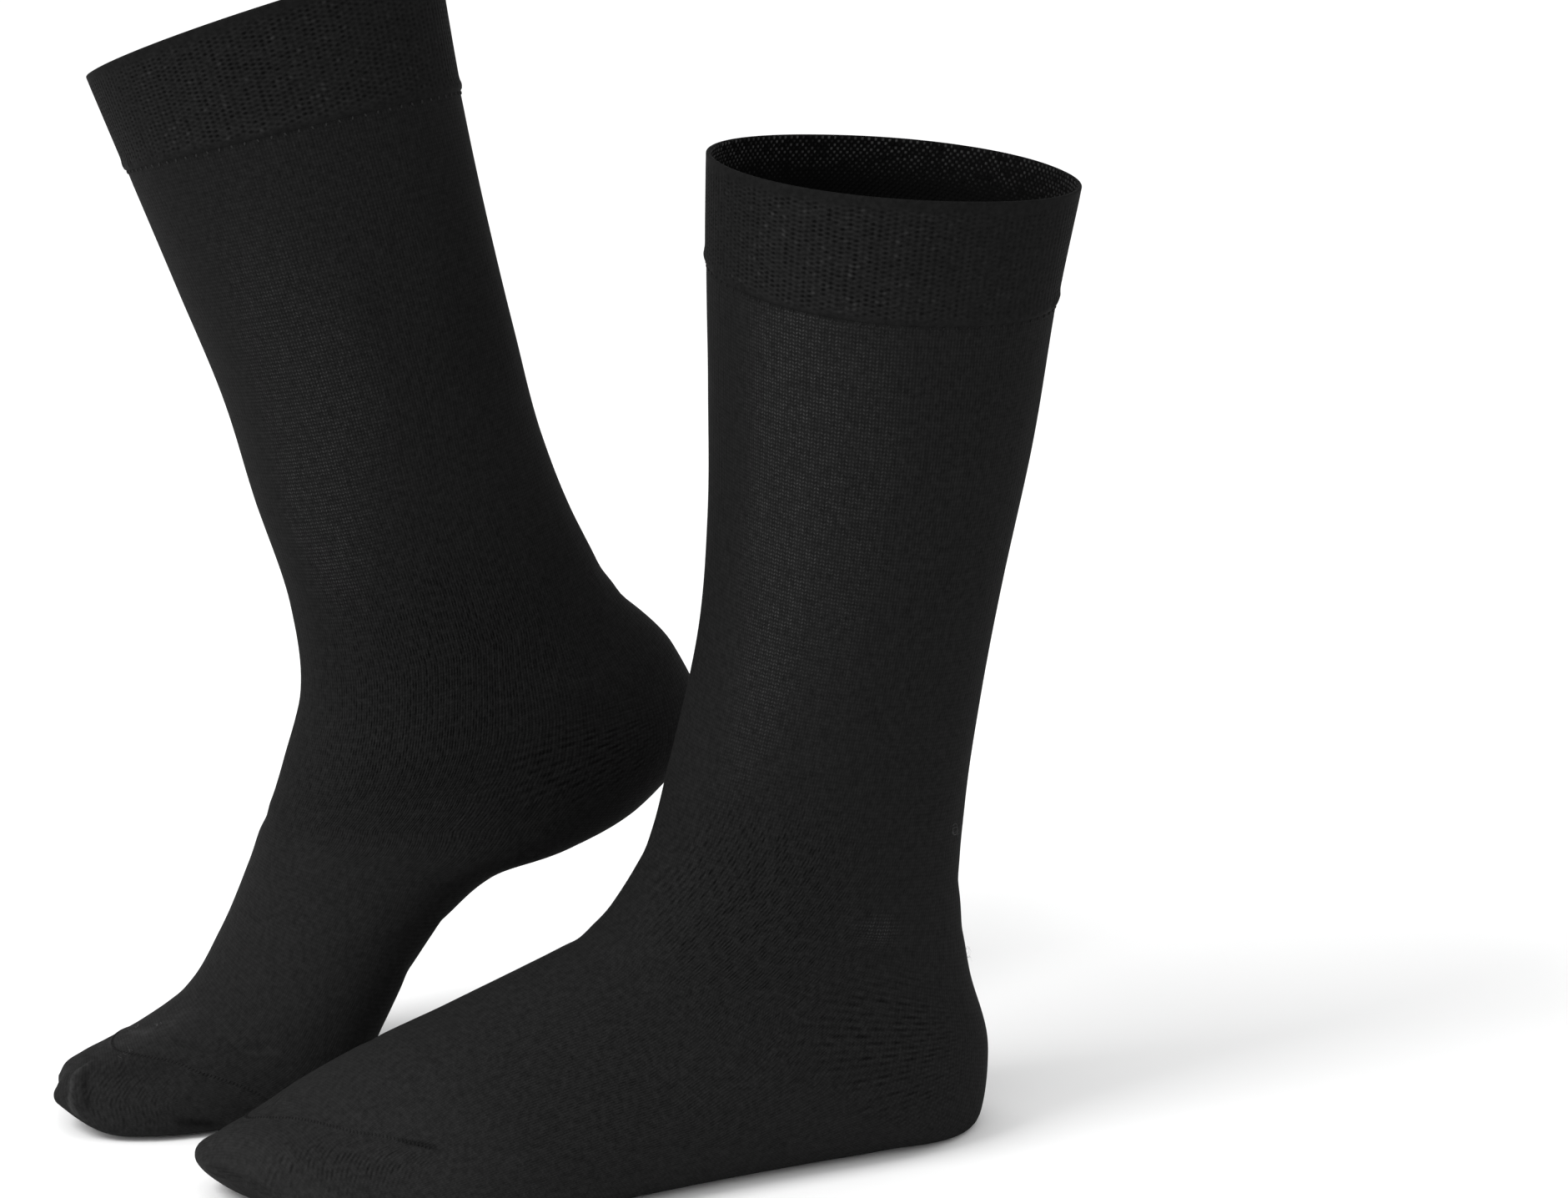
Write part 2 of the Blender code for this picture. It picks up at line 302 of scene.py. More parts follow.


# ======== What shows where: kinds of knitting, seams, creases, and painted light and shade ===

# Each kind of knitting shows, from 0 to 1, in soft-edged patches on a felted ground. It is open where it is
# stretched and its stitches catch the light, and there they take painted light and painted glints. Ribs are
# the gaps between wales. Bends are gaps that turn at the ankle, rows are gaps that lean back over the toes,
# and sweep is gaps that fan out from the back of the heel.
FEELS = ("open", "ribs", "bends", "rows", "sweep")
PATCH_COLUMNS = ("course", "angle", "reach", "spread", "amount")
PATCHES = {
    "front": {
        "open": (
            (58, -35, 34, 18, 1.0),
            (108, -34, 36, 17, 1.0),
            (150, -38, 24, 14, 0.6),
            (84, -60, 62, 17, 0.6),
            (213, -101, 4, 7, 0.9),
            (96, 60, 60, 34, 0.7),
        ),
        "bends": (
            (207, -56, 32, 46, 1.0),
            (254, -70, 28, 38, 0.6),
            (215, 62, 36, 42, 0.9),
        ),
        "ribs": (
            (320, -80, 50, 50, 0.4),
            (90, -110, 90, 46, 0.3),
        ),
        "rows": (
            (417, -42, 13, 31, 0.65),
            (401, -56, 9, 15, 0.6),
            (408, 56, 14, 34, 0.8),
        ),
        "sweep": (
            (246, -108, 20, 24, 0.9),
            (246, 110, 19, 23, 0.9),
        ),
    },
    "rear": {
        "open": (
            (112, 46, 46, 27, 0.8),
            (152, 36, 24, 17, 0.8),
            (105, -60, 60, 40, 0.5),
        ),
        "ribs": (
            (196, 66, 34, 60, 0.75),
            (250, 50, 40, 50, 0.5),
            (100, 90, 80, 50, 0.25),
            (210, -60, 50, 60, 0.7),
        ),
        "rows": (
            (407, 52, 15, 46, 0.65),
            (404, -60, 15, 50, 0.6),
        ),
        "sweep": (
            (241, 106, 14, 24, 1.0),
            (241, -106, 14, 24, 0.9),
        ),
    },
}
# What shows of each kind everywhere else.
GROUND = {"open": 0.04, "ribs": 0.20, "bends": 0.0, "rows": 0.0, "sweep": 0.0}
PATCH_EDGE = 1.6
# How light the cloth is painted, from the rim to the tip: the foot is lighter than the leg and the cuff,
# painted light that stands in for the light the pale floor throws up on the lower parts.
PAINTED_LIGHT_TONE_AT = (0.0, 38.0, 180.0, 240.0, 300.0, 360.0, 400.0, 416.0, 428.0)
PAINTED_LIGHT_TONE = (1.03, 1.13, 1.16, 1.28, 1.38, 1.45, 1.62, 1.70, 2.10)
# The cuff's own share of that tone.
CUFF_TONE = 0.88
# Where the sweep fans out from, along and across the ring at this course, from the ring's back end, and the
# degrees from one of its gaps to the next.
SWEEP_RING, SWEEP_FROM = 244.0, (-21.8, 16.0)
SWEEP_STEP = 1.6
# The gaps that lean: how far back they have leant at each height over the sole, and their step along the
# foot.
LEAN_COLUMNS = ("heights", "leans", "step")
BENDS = ((0, 43, 54, 78, 87, 103, 112, 140), (-62, 0, 14, 40, 48, 58, 62, 72), 1.2)
TOE_ROWS = {
    "front": ((0, 18, 21.8, 24.8, 27.7, 32), (-6, 0, 2.5, 6.4, 13.1, 23), 1.2),
    "rear": ((0, 6.6, 12.3, 15.5, 18.4, 25), (-0.5, 0, 0.5, 4.5, 9.9, 20), 1.2),
}
WALE_UNEVEN, WALE_UNEVEN_LENGTH = 0.9, 14.0
WALE_GROUND = 0.25

# The edge of the rear sock's toes, with the big toe's end behind it, and the strip just under that edge.
TOE_EDGE = ((409, 8), (412, 13), (418, 22), (420, 43), (422, 68), (422, 86), (420, 96))
UNDER_TOE_EDGE = ((406, 16), (413, 26), (415, 43), (417, 66), (417, 84))

# Creases and gore lines. Each is a soft trough (an amount below 0) or ridge along a smooth curve.
LINE_COLUMNS = ("amount", "half_width", "places")
LINES = {
    "front": (
        # The heel pocket's gore lines and the swells beside them.
        (-0.32, 1.1, ((215, -92), (221, -105), (229, -116), (238, -124), (246, -130))),
        (0.30, 2.2, ((212, -96), (219, -109), (228, -120), (239, -129))),
        (-0.24, 1.2, ((215, 94), (222, 107), (231, 118), (242, 127))),
        (0.8, 7.0, ((209, -88), (213, -97), (218, -104))),
        (0.6, 7.0, ((209, 90), (213, 99), (218, 106))),
        # Soft folds at the front of the ankle and above the heel.
        (-0.55, 4.2, ((203, -8), (206, -30), (212, -52), (222, -70))),
        (-0.45, 3.6, ((214, 6), (217, -20), (224, -46))),
        (-0.35, 4.5, ((226, 12), (230, -14), (238, -38))),
        (-0.45, 4.0, ((205, 14), (209, 38), (217, 60))),
        (-0.40, 5.0, ((196, 172), (200, 192), (206, 210))),
        (-0.35, 4.5, ((208, 166), (212, 188), (219, 206))),
        (-0.30, 5.0, ((182, -150), (188, -132), (197, -118))),
        # Soft dents and swells down the legs.
        (-0.45, 9.0, ((74, -70), (98, -78), (128, -74))),
        (0.35, 8.0, ((60, -44), (92, -50), (130, -46))),
        (-0.40, 9.0, ((60, 60), (92, 74), (124, 70))),
        (-0.35, 8.0, ((100, 150), (130, 166), (160, 160))),
        # Under the arch, where the cloth slackens.
        (-0.40, 4.0, ((292, -112), (306, -118), (322, -114))),
        (-0.35, 4.0, ((288, 112), (304, 120), (324, 116))),
        # Puckers at the ends of the toe's seam, the toe's gore line, and soft folds across the knuckles.
        (-0.70, 0.7, ((398, -44), (394, -52), (390, -59), (390, -66))),
        (0.40, 1.4, ((394, -44), (391, -50), (387, -57))),
        (0.30, 1.6, ((399, -52), (396, -58), (394, -64))),
        (-0.25, 0.9, ((393, -60), (400, -59), (409, -59), (418, -60))),
        (-0.35, 2.4, ((372, -20), (376, -40), (374, -58))),
        (-0.30, 2.4, ((366, 10), (370, 34), (372, 54))),
        (-0.70, 1.0, ((384, 60), (390, 62), (396, 60))),
    ),
    "rear": (
        # The heel pocket's gore lines and a swell beside them.
        (-0.30, 1.1, ((214, 103), (216, 112), (217, 122), (217, 134))),
        (-0.30, 1.1, ((216, 101), (221, 104), (229, 111), (235, 122), (237, 130))),
        (0.5, 5.0, ((214, 98), (218, 106), (224, 112))),
        (-0.26, 1.2, ((215, -101), (220, -108), (228, -115), (236, -124))),
        (-0.24, 1.2, ((214, -104), (216, -116), (217, -130))),
        # Soft folds at the front of the ankle and above the heel.
        (-0.50, 4.2, ((205, 6), (208, 28), (214, 50), (222, 68))),
        (-0.45, 3.8, ((219, -8), (221, 18), (228, 40))),
        (-0.40, 4.2, ((206, -12), (210, -36), (219, -58))),
        (-0.40, 5.0, ((190, 150), (196, 170), (200, 192))),
        (-0.35, 4.5, ((204, 160), (209, 182), (214, 205))),
        # Soft dents and swells down the legs.
        (-0.40, 9.0, ((66, 96), (96, 88), (130, 92))),
        (0.35, 8.0, ((58, 52), (90, 46), (126, 50))),
        (-0.40, 9.0, ((70, -60), (100, -72), (132, -66))),
        (-0.35, 8.0, ((96, 190), (128, 200), (158, 194))),
        # Under the arch, where the cloth slackens.
        (-0.55, 4.2, ((310, 128), (318, 150), (326, 176))),
        (-0.45, 3.8, ((322, 120), (331, 146), (338, 178))),
        (-0.45, 4.0, ((312, -126), (319, -150), (328, -172))),
        # The crease over the ball, and the bend of the toes.
        (-0.75, 1.8, ((382, 24), (380, 34), (374, 50), (366, 64), (361, 74))),
        (0.55, 3.0, ((387, 22), (385, 34), (379, 50), (371, 64))),
        (-0.50, 2.2, ((372, -20), (376, -42), (372, -64))),
        (-0.40, 2.0, ((396, 100), (400, 92), (406, 86))),
        # The edge of the toes, with the big toe's end behind it.
        (0.55, 0.8, TOE_EDGE),
        (-0.55, 0.9, UNDER_TOE_EDGE),
        # Puckers at the ends of the toe's seam.
        (-0.70, 1.0, ((374, 96), (380, 97), (386, 96))),
        (-0.60, 1.0, ((384, -58), (390, -60), (396, -59))),
    ),
}

# Strips of painted light (above 0) and painted shade on the cloth, in the same columns.
PAINTED_LIGHT_AND_SHADE = {
    "front": (
        # Painted shade in the pucker at the end of the toe's seam.
        (-0.5, 0.6, ((397, -47), (393, -54), (390, -60), (390, -66))),
    ),
    "rear": (
        # Painted light along the edge of the toes, painted shade under that edge and under the toes where
        # they meet the front sock's toe, and a strip of painted light across the toes.
        (2.0, 0.8, TOE_EDGE),
        (-0.6, 1.6, UNDER_TOE_EDGE),
        (-0.8, 2.0, ((400, 91), (396, 97), (390, 106))),
        (0.9, 1.6, ((396, -12), (394, -4), (390, 4), (388, 12))),
        # Painted light on the tops of the toes, and painted shade under their edge.
        (0.5, 7.0, ((414, -12), (402, -2), (392, 6), (378, 10), (364, 6))),
        (-0.3, 5.0, ((410, 22), (402, 34), (394, 40), (384, 50))),
        # The back of the leg, which the pale backdrop lights.
        (0.2, 32.0, ((100, 118), (150, 124), (210, 128), (262, 120))),
    ),
}

# The seam over each sock's toes, where the tube was closed, from one side to the other.
TOE_SEAMS = {
    "front": (
        (391, -59), (396, -47), (400, -36), (404, -25), (408, -2), (412, 18), (413, 36), (408, 50), (399, 60),
    ),
    "rear": (
        (396, -60), (400, -40), (402, -15), (401, 8), (394, 28),
        (387, 45), (384, 58), (380, 71), (377, 84), (377, 95),
    ),
}
SEAM_RIDGE, SEAM_RIDGE_HALF = 0.14, 0.75
SEAM_GROOVE, SEAM_GROOVE_HALF, SEAM_GROOVE_OFF = -0.20, 0.55, 1.3
SEAM_REACH = 5.0

# A line has low shoulders beside it and reaches this many half widths from its middle. Lines fade out over
# this share of their length at each end.
SHOULDER, LINE_REACH = 0.35, 3.0
LINE_FADE, SEAM_FADE = 0.3, 0.04
CURVE_POINTS = 8
NOISE_ROWS = 512
WALE_SEED, HOLE_SEED, SCALLOP_SEED = 11, 5, 7


def smooth_noise(u, v, seed, wrap):
    """Smooth noise from 0 to 1 with features one unit wide, repeating every wrap units of u."""
    table = np.random.default_rng(seed).random((wrap, NOISE_ROWS))
    u, v = np.broadcast_arrays(u, v)
    u0, v0 = np.floor(u).astype(int), np.floor(v).astype(int)
    s, t = ease(0.0, 1.0, u - u0), ease(0.0, 1.0, v - v0)
    a, b = u0 % wrap, (u0 + 1) % wrap
    c, d = v0 % NOISE_ROWS, (v0 + 1) % NOISE_ROWS
    near = table[a, c] * (1 - s) + table[b, c] * s
    far = table[a, d] * (1 - s) + table[b, d] * s
    return near * (1 - t) + far * t


def turned_near(angle, middle):
    """Angles in degrees from a middle one, within half a turn of it."""
    return (angle - middle + 180.0) % 360.0 - 180.0


def feel_at(sock, feel, along, angle):
    """How much of one kind of knitting shows at each point."""
    degrees = np.degrees(angle)
    amount = np.full(degrees.shape, GROUND[feel])
    for row in PATCHES[sock["name"]].get(feel, ()):
        patch = named(PATCH_COLUMNS, row)
        off_course = (along[:, None] - patch["course"]) / patch["reach"]
        off_angle = turned_near(degrees, patch["angle"]) / patch["spread"]
        amount += patch["amount"] * np.exp(-((off_course**2 + off_angle**2) ** PATCH_EDGE))
    return np.clip(amount, 0.0, 1.0)


def wale_relief(sock, along, shares, angle):
    """The height of the wales, as uneven from wale to wale as a knitted tube is."""
    shown = WALE_GROUND + (1 - WALE_GROUND) * feel_at(sock, "ribs", along, angle)
    height = np.interp(along, WALE_HEIGHT_AT, WALE_HEIGHT)[:, None] * shown
    wale = shares[None, :] * WALES
    noise = smooth_noise(wale, along[:, None] / WALE_UNEVEN_LENGTH, WALE_SEED, WALES)
    return height * (1.0 + WALE_UNEVEN * (noise - 0.5)) * np.cos(2 * math.pi * wale)


def sweep_map(sock, points):
    """Each point's place on the fan of gaps round the heel: the gap's number, and how far out along it."""
    ring = rings_at(sock, np.array([SWEEP_RING]))
    back = np.array([ring["back_x"][0], ring["back_z"][0]])
    ahead = unit(np.array([ring["front_x"][0], ring["front_z"][0]]) - back)
    start = back + ahead * SWEEP_FROM[0] + np.array([-ahead[1], ahead[0]]) * SWEEP_FROM[1]
    x, z = points[..., 0] - start[0], points[..., 2] - start[1]
    turn = np.arctan2(z * ahead[0] - x * ahead[1], x * ahead[0] + z * ahead[1])
    return np.degrees(turn) / SWEEP_STEP, np.hypot(x, z) / COURSE


def leaning_map(row, points):
    """Each point's place on gaps that lean: the gap's number, and how far up along it."""
    lean = named(LEAN_COLUMNS, row)
    heights, leans = np.array(lean["heights"], float), np.array(lean["leans"], float)
    at = np.clip(points[..., 2], heights[0], heights[-1])
    leant = points[..., 0] + smooth_values(heights, leans, at)
    return leant / lean["step"], points[..., 2] / COURSE


def curve_points(sock, places):
    """Points of the tube along a smooth curve through some (course, angle) places."""
    places = np.array(places, float)
    knots = np.arange(len(places), dtype=float)
    at = np.linspace(0, len(places) - 1, (len(places) - 1) * CURVE_POINTS + 1)
    along = smooth_values(knots, places[:, 0], at)
    angle = np.radians(smooth_values(knots, places[:, 1], at))
    return along, angle, tube(sock, along, angle)


def distance_to_curve(points, curve):
    """Each point's distance to a curve, how far along the curve it is from 0 to 1, and its offset from it."""
    best = np.full(len(points), np.inf)
    share = np.zeros(len(points))
    offset = np.zeros((len(points), 3))
    for k in range(len(curve) - 1):
        a, d = curve[k], curve[k + 1] - curve[k]
        t = np.clip((points - a) @ d / max(d @ d, 1e-9), 0.0, 1.0)
        away = points - a - t[:, None] * d
        far = np.linalg.norm(away, axis=1)
        nearer = far < best
        best = np.where(nearer, far, best)
        share = np.where(nearer, (k + t) / (len(curve) - 1), share)
        offset[nearer] = away[nearer]
    return best, share, offset


def points_near(flat, curve, reach):
    """Which points are within reach of the box round a curve."""
    return np.all((flat > curve.min(axis=0) - reach) & (flat < curve.max(axis=0) + reach), axis=1)


def line_amount(points, curve, amount, half_width):
    """What one line adds to the points near it, fading out at its ends."""
    flat = points.reshape(-1, 3)
    near = points_near(flat, curve, LINE_REACH * half_width)
    total = np.zeros(len(flat))
    distance, share, _ = distance_to_curve(flat[near], curve)
    q = (distance / half_width) ** 2
    fade = ease(0.0, LINE_FADE, share) * ease(0.0, LINE_FADE, 1.0 - share)
    total[near] = amount * fade * (1 - SHOULDER * q) * np.exp(-q)
    return total.reshape(points.shape[:-1])


def seam_relief(sock, points):
    """The toe seam: a narrow ridge where the edges were linked, with a groove on its toe side."""
    along, angle, curve = curve_points(sock, TOE_SEAMS[sock["name"]])
    ahead, _ = directions(sock, along, angle)
    flat = points.reshape(-1, 3)
    near = points_near(flat, curve, SEAM_REACH)
    distance, share, offset = distance_to_curve(flat[near], curve)
    side = np.sign(offset @ ahead.mean(axis=0))
    ends = ease(0.0, SEAM_FADE, share) * ease(0.0, SEAM_FADE, 1.0 - share)
    ridge = SEAM_RIDGE * np.exp(-((distance / SEAM_RIDGE_HALF) ** 2))
    groove = SEAM_GROOVE * np.exp(-(((distance * side - SEAM_GROOVE_OFF) / SEAM_GROOVE_HALF) ** 2))
    relief = np.zeros(len(flat))
    relief[near] = ends * (ridge + groove)
    return relief.reshape(points.shape[:-1])


def drawn_lines(lines, sock, points):
    """What all of a sock's lines in a table add up to at some points."""
    total = np.zeros(points.shape[:-1])
    for row in lines[sock["name"]]:
        line = named(LINE_COLUMNS, row)
        _, _, curve = curve_points(sock, line["places"])
        total += line_amount(points, curve, line["amount"], line["half_width"])
    return total


# ======== Meshes ========


def add_object(name, data):
    """A new object in the scene."""
    thing = bpy.data.objects.new(name, data)
    bpy.context.scene.collection.objects.link(thing)
    return thing


def mesh_object(name, sock, points, faces, uvs, faces_out=True, normals=None, feels=None):
    """A smooth-shaded mesh object from quads, with one (u, v) for each face corner.

    Points and normals are in the sock's own axes, which are a mirror image for a right sock, so its faces are
    turned over. Feels are numbers for each point, by name.
    """
    mirrored = sock["big_toe"] > 0
    if faces_out == mirrored:
        faces, uvs = faces[:, ::-1], uvs[:, ::-1]
    sides = faces.shape[1]
    mesh = bpy.data.meshes.new(name)
    mesh.vertices.add(len(points))
    mesh.vertices.foreach_set("co", np.ascontiguousarray(placed(points, sock), np.float32).ravel())
    mesh.loops.add(faces.size)
    mesh.loops.foreach_set("vertex_index", np.ascontiguousarray(faces, np.int32).ravel())
    mesh.polygons.add(len(faces))
    mesh.polygons.foreach_set("loop_start", np.arange(0, faces.size, sides, dtype=np.int32))
    mesh.polygons.foreach_set("use_smooth", np.ones(len(faces), bool))
    layer = mesh.uv_layers.new(name="Knit")
    layer.data.foreach_set("uv", np.ascontiguousarray(uvs, np.float32).ravel())
    for feel, values in (feels or {}).items():
        attribute = mesh.attributes.new(name=feel, type="FLOAT", domain="POINT")
        attribute.data.foreach_set("value", np.ascontiguousarray(values, np.float32).ravel())
    mesh.update(calc_edges=True)
    if normals is not None:
        mesh.normals_split_custom_set_from_vertices(turned(normals, sock).tolist())
    return add_object(name, mesh)


def grid_faces(rows, columns):
    """The quads of a tube-shaped grid, with the row and the unwrapped column of each quad's corners."""
    r, k = np.meshgrid(np.arange(rows - 1), np.arange(columns), indexing="ij")
    corner_rows = np.stack([r, r, r + 1, r + 1], axis=-1).reshape(-1, 4)
    corner_columns = np.stack([k, k + 1, k + 1, k], axis=-1).reshape(-1, 4)
    faces = corner_rows * columns + corner_columns % columns
    return faces, corner_rows, corner_columns


def grid_normals(points):
    """The outward normal at each point of a tube-shaped grid whose rows run toward the toe."""
    ahead = np.gradient(points, axis=0)
    around = np.roll(points, -1, axis=1) - np.roll(points, 1, axis=1)
    return unit(np.cross(ahead, around))


def lengths_down(points):
    """How far down each column each row is, measured along the cloth."""
    steps = np.linalg.norm(np.diff(points, axis=0), axis=2)
    return np.concatenate([np.zeros((1, points.shape[1])), np.cumsum(steps, axis=0)], axis=0)


def whole_courses(length, columns):
    """The course number at each row and column, with the same whole number of courses down each column."""
    number = max(1, round(float(length[-1, columns].mean()) / COURSE))
    return number * length / length[-1:]


def stitch_map(area, points, corner_rows, corner_columns, shares):
    """The (wale, course) of each face corner. The heel's pocket has courses of its own."""
    length = lengths_down(points)
    in_back = (shares > POCKET_SHARES[0]) & (shares < POCKET_SHARES[1])
    courses = whole_courses(length, ~in_back)[corner_rows, corner_columns % AROUND]
    if area["name"] == "heel":
        pocket_courses = whole_courses(length, in_back)[corner_rows, corner_columns % AROUND]
        middle = corner_columns.mean(axis=1, keepdims=True) / AROUND
        in_pocket = (middle > POCKET_SHARES[0]) & (middle < POCKET_SHARES[1])
        courses = np.where(in_pocket, pocket_courses, courses)
    return np.stack([corner_columns / COLUMNS_PER_WALE, courses], axis=-1)


def relief_points(sock, along, shares, angle):
    """A grid of points of the cloth with its relief, and the plain tube under it."""
    plain = tube(sock, along[:, None], angle)
    _, out = directions(sock, along[:, None], angle)
    relief = wale_relief(sock, along, shares, angle)
    relief = relief + drawn_lines(LINES, sock, plain) + seam_relief(sock, plain)
    points = plain + out * relief[..., None]
    points[..., 2] = np.maximum(points[..., 2], 0.0)
    return points, plain


def sheet_feels(sock, along, angle, plain):
    """What shows of each kind of knitting on a sheet, where its gaps run, and its tone of painted light and
    shade.
    """
    feels = {feel: feel_at(sock, feel, along, angle) for feel in FEELS}
    maps = {
        "sweep": sweep_map(sock, plain),
        "bends": leaning_map(BENDS, plain),
        "rows": leaning_map(TOE_ROWS[sock["name"]], plain),
    }
    for feel, (gap, out) in maps.items():
        feels[feel + "_gap"], feels[feel + "_out"] = gap, out
    # The tone: painted light that grows toward the toe, and strips of painted light and shade.
    feels["tone"] = np.interp(along, PAINTED_LIGHT_TONE_AT, PAINTED_LIGHT_TONE)[:, None] + drawn_lines(PAINTED_LIGHT_AND_SHADE, sock, plain)
    return feels


def build_sheet(sock, area):
    """One area's sheet of knitting, from ring to ring.

    The grid runs one row past each end while its normals are worked out, so that the shading doesn't break
    where two sheets meet.
    """
    along = np.linspace(area["start"], area["end"], area["rows"] + 1)
    step = along[1] - along[0]
    wider = np.concatenate([[along[0] - step], along, [min(along[-1] + step, TUBE_END)]])
    shares = np.arange(AROUND) / AROUND
    angle = wale_angles(sock, wider, shares)
    points, plain = relief_points(sock, wider, shares, angle)
    feels = sheet_feels(sock, along, angle[1:-1], plain[1:-1])
    normals = grid_normals(points)[1:-1].reshape(-1, 3)
    faces, corner_rows, corner_columns = grid_faces(len(along), AROUND)
    uvs = stitch_map(area, plain[1:-1], corner_rows, corner_columns, shares)
    points = points[1:-1].reshape(-1, 3)
    if area["name"] == "toe":
        points, faces, uvs, normals = close_tip(points, faces, uvs, normals)
        feels = {feel: tip_feel(values, len(points)) for feel, values in feels.items()}
    name = f"{sock['name']}_{area['name']}_knit"
    return mesh_object(name, sock, points, faces, uvs, faces_out=False, normals=normals, feels=feels)


def tip_feel(values, number):
    """A toe's numbers for each point, carried on over the tip at the last ring's average."""
    values = values.ravel()
    return np.concatenate([values, np.full(number - len(values), values[-AROUND:].mean())])


def close_tip(points, faces, uvs, normals):
    """Adds a shallow dome over the last ring, closed at its middle."""
    ring, edge_normals = points[-AROUND:], normals[-AROUND:]
    middle = ring.mean(axis=0)
    ahead = np.array([1.0, 0.0, 0.0])
    rings, ring_normals = [], []
    for k in range(1, TIP_RINGS + 1):
        out = 1.0 - k / (TIP_RINGS + 0.5)
        rings.append(middle + (ring - middle) * out + ahead * TIP_CROWN * (1 - out * out))
        ring_normals.append(unit(edge_normals * out + ahead * (1 - out)))
    start = len(points) - AROUND
    dome_faces, corner_rows, corner_columns = grid_faces(TIP_RINGS + 1, AROUND)
    dome_uvs = np.stack([corner_columns / COLUMNS_PER_WALE, corner_rows / 2], axis=-1)
    tip = len(points) + TIP_RINGS * AROUND
    last = start + TIP_RINGS * AROUND
    k = np.arange(0, AROUND, 2)
    cap = np.stack([last + k, last + k + 1, last + (k + 2) % AROUND, np.full_like(k, tip)], axis=-1)
    cap_wales = np.stack([k, k + 1, k + 2, k + 1], axis=-1) / COLUMNS_PER_WALE
    cap_courses = np.broadcast_to(np.array([0.0, 0.0, 0.0, 0.5]), cap_wales.shape) + TIP_RINGS / 2
    cap_uvs = np.stack([cap_wales, cap_courses], axis=-1)
    points = np.concatenate([points, *rings, [middle + ahead * TIP_CROWN]])
    normals = np.concatenate([normals, *ring_normals, [ahead]])
    faces = np.concatenate([faces, dome_faces + start, cap])
    return points, faces, np.concatenate([uvs, dome_uvs, cap_uvs]), normals


def cuff_profile():
    """The cuff's section, from its hem up the outside, over the rim and down inside.

    Each row is (course, distance out of the tube, rise past the rim, 1 on a row of holes, 1 or -1 on the rows
    of loops).
    """
    rows = [(CUFF_END, 0.0, 0.0, 0.0, 0.0), (CUFF_END - HEM_TURN, HEM_TURN_OUT, 0.0, 0.0, 0.0)]
    length = CUFF_END - HEM_WIDTH
    number = int(length / CUFF_COURSE) * ROWS_PER_HOLE
    for k in range(number + 1):
        rows.append((length * (1 - k / number), CUFF_OUT, 0.0, float(k % ROWS_PER_HOLE == 0), 0.0))
    middle, reach = (CUFF_OUT + CUFF_IN) / 2, (CUFF_OUT - CUFF_IN) / 2
    for k in range(1, ROLL_ROWS):
        turn = math.pi * k / ROLL_ROWS
        rows.append((0.0, middle + reach * math.cos(turn), ROLL_RISE * math.sin(turn), 0.0, 0.0))
    for k in range(INNER_ROWS + 1):
        rows.append((length * k / INNER_ROWS, CUFF_IN, 0.0, 0.0, 1.0 if k % 2 else -1.0))
    return np.array(rows)


def cuff_relief(profile, shares):
    """The mock rib's ribs and holes on the outside, loops on the inside, and scallops along the hem."""
    along = profile[:, 0:1]
    outside = profile[:, 1:2] > CUFF_OUT - OUTSIDE_SLACK
    wale = shares[None, :] * WALES
    rib = np.cos(2 * math.pi * wale)
    mesh = ease(MESH_EDGE, RIM_PLAIN, along) * ease(MESH_EDGE, HEM_PLAIN, CUFF_END - along)
    uneven = HOLE_LEAST + HOLE_UNEVEN * smooth_noise(wale, along / CUFF_COURSE, HOLE_SEED, WALES)
    holes = profile[:, 3:4] * HOLE_DEPTH * np.clip(-rib, 0.0, 1.0) * uneven
    bumps = smooth_noise(wale / SCALLOP_WALES, along / SCALLOP_LENGTH, SCALLOP_SEED, WALES // SCALLOP_WALES)
    hem = np.exp(-(((CUFF_END - SCALLOP_UP - along) / SCALLOP_HALF) ** 2)) * HEM_SCALLOP * bumps
    loops = np.abs(profile[:, 4:5]) * INNER_LOOP * np.clip(profile[:, 4:5] * rib, 0.0, None) * uneven
    return np.where(outside, mesh * (RIB_HEIGHT * rib - holes) + hem, -loops)


def cuff_feels(sock, profile, angle):
    """How open the mesh is outside, and the painted light on the loops inside, fading into painted shade
    deeper in.
    """
    along = profile[:, 0:1]
    inside = ease(0.0, 1.0, (CUFF_OUT - profile[:, 1:2]) / (CUFF_OUT - CUFF_IN)) + 0 * angle
    mesh = ease(2 * MESH_EDGE, RIM_PLAIN, along) * ease(MESH_EDGE, HEM_PLAIN, CUFF_END - along)
    degrees = np.degrees(angle)
    side = np.full(degrees.shape, MESH_GROUND)
    for row in MESH_PATCHES[sock["name"]]:
        patch = named(MESH_COLUMNS, row)
        off_angle = turned_near(degrees, patch["angle"]) / patch["spread"]
        side += patch["amount"] * np.exp(-(off_angle**2))
    # Painted light on the inside's loops: it fades into painted shade down from the rim and is stronger on
    # the front, which is turned from the key light.
    painted_loop_light = (1 - ease(0.0, INNER_PAINTED_LIGHT_FADE, along)) * (1 + INSIDE_FRONT_PAINTED_LIGHT * (1 + np.cos(angle)) / 2)
    shown = np.where(inside > 0.5, painted_loop_light, mesh * np.clip(side, 0.0, 1.0))
    # The cuff takes its share of the same painted light down the sock.
    tone = CUFF_TONE * np.interp(along, PAINTED_LIGHT_TONE_AT, PAINTED_LIGHT_TONE) + 0 * angle
    return {"open": shown, "inside": inside, "tone": tone}


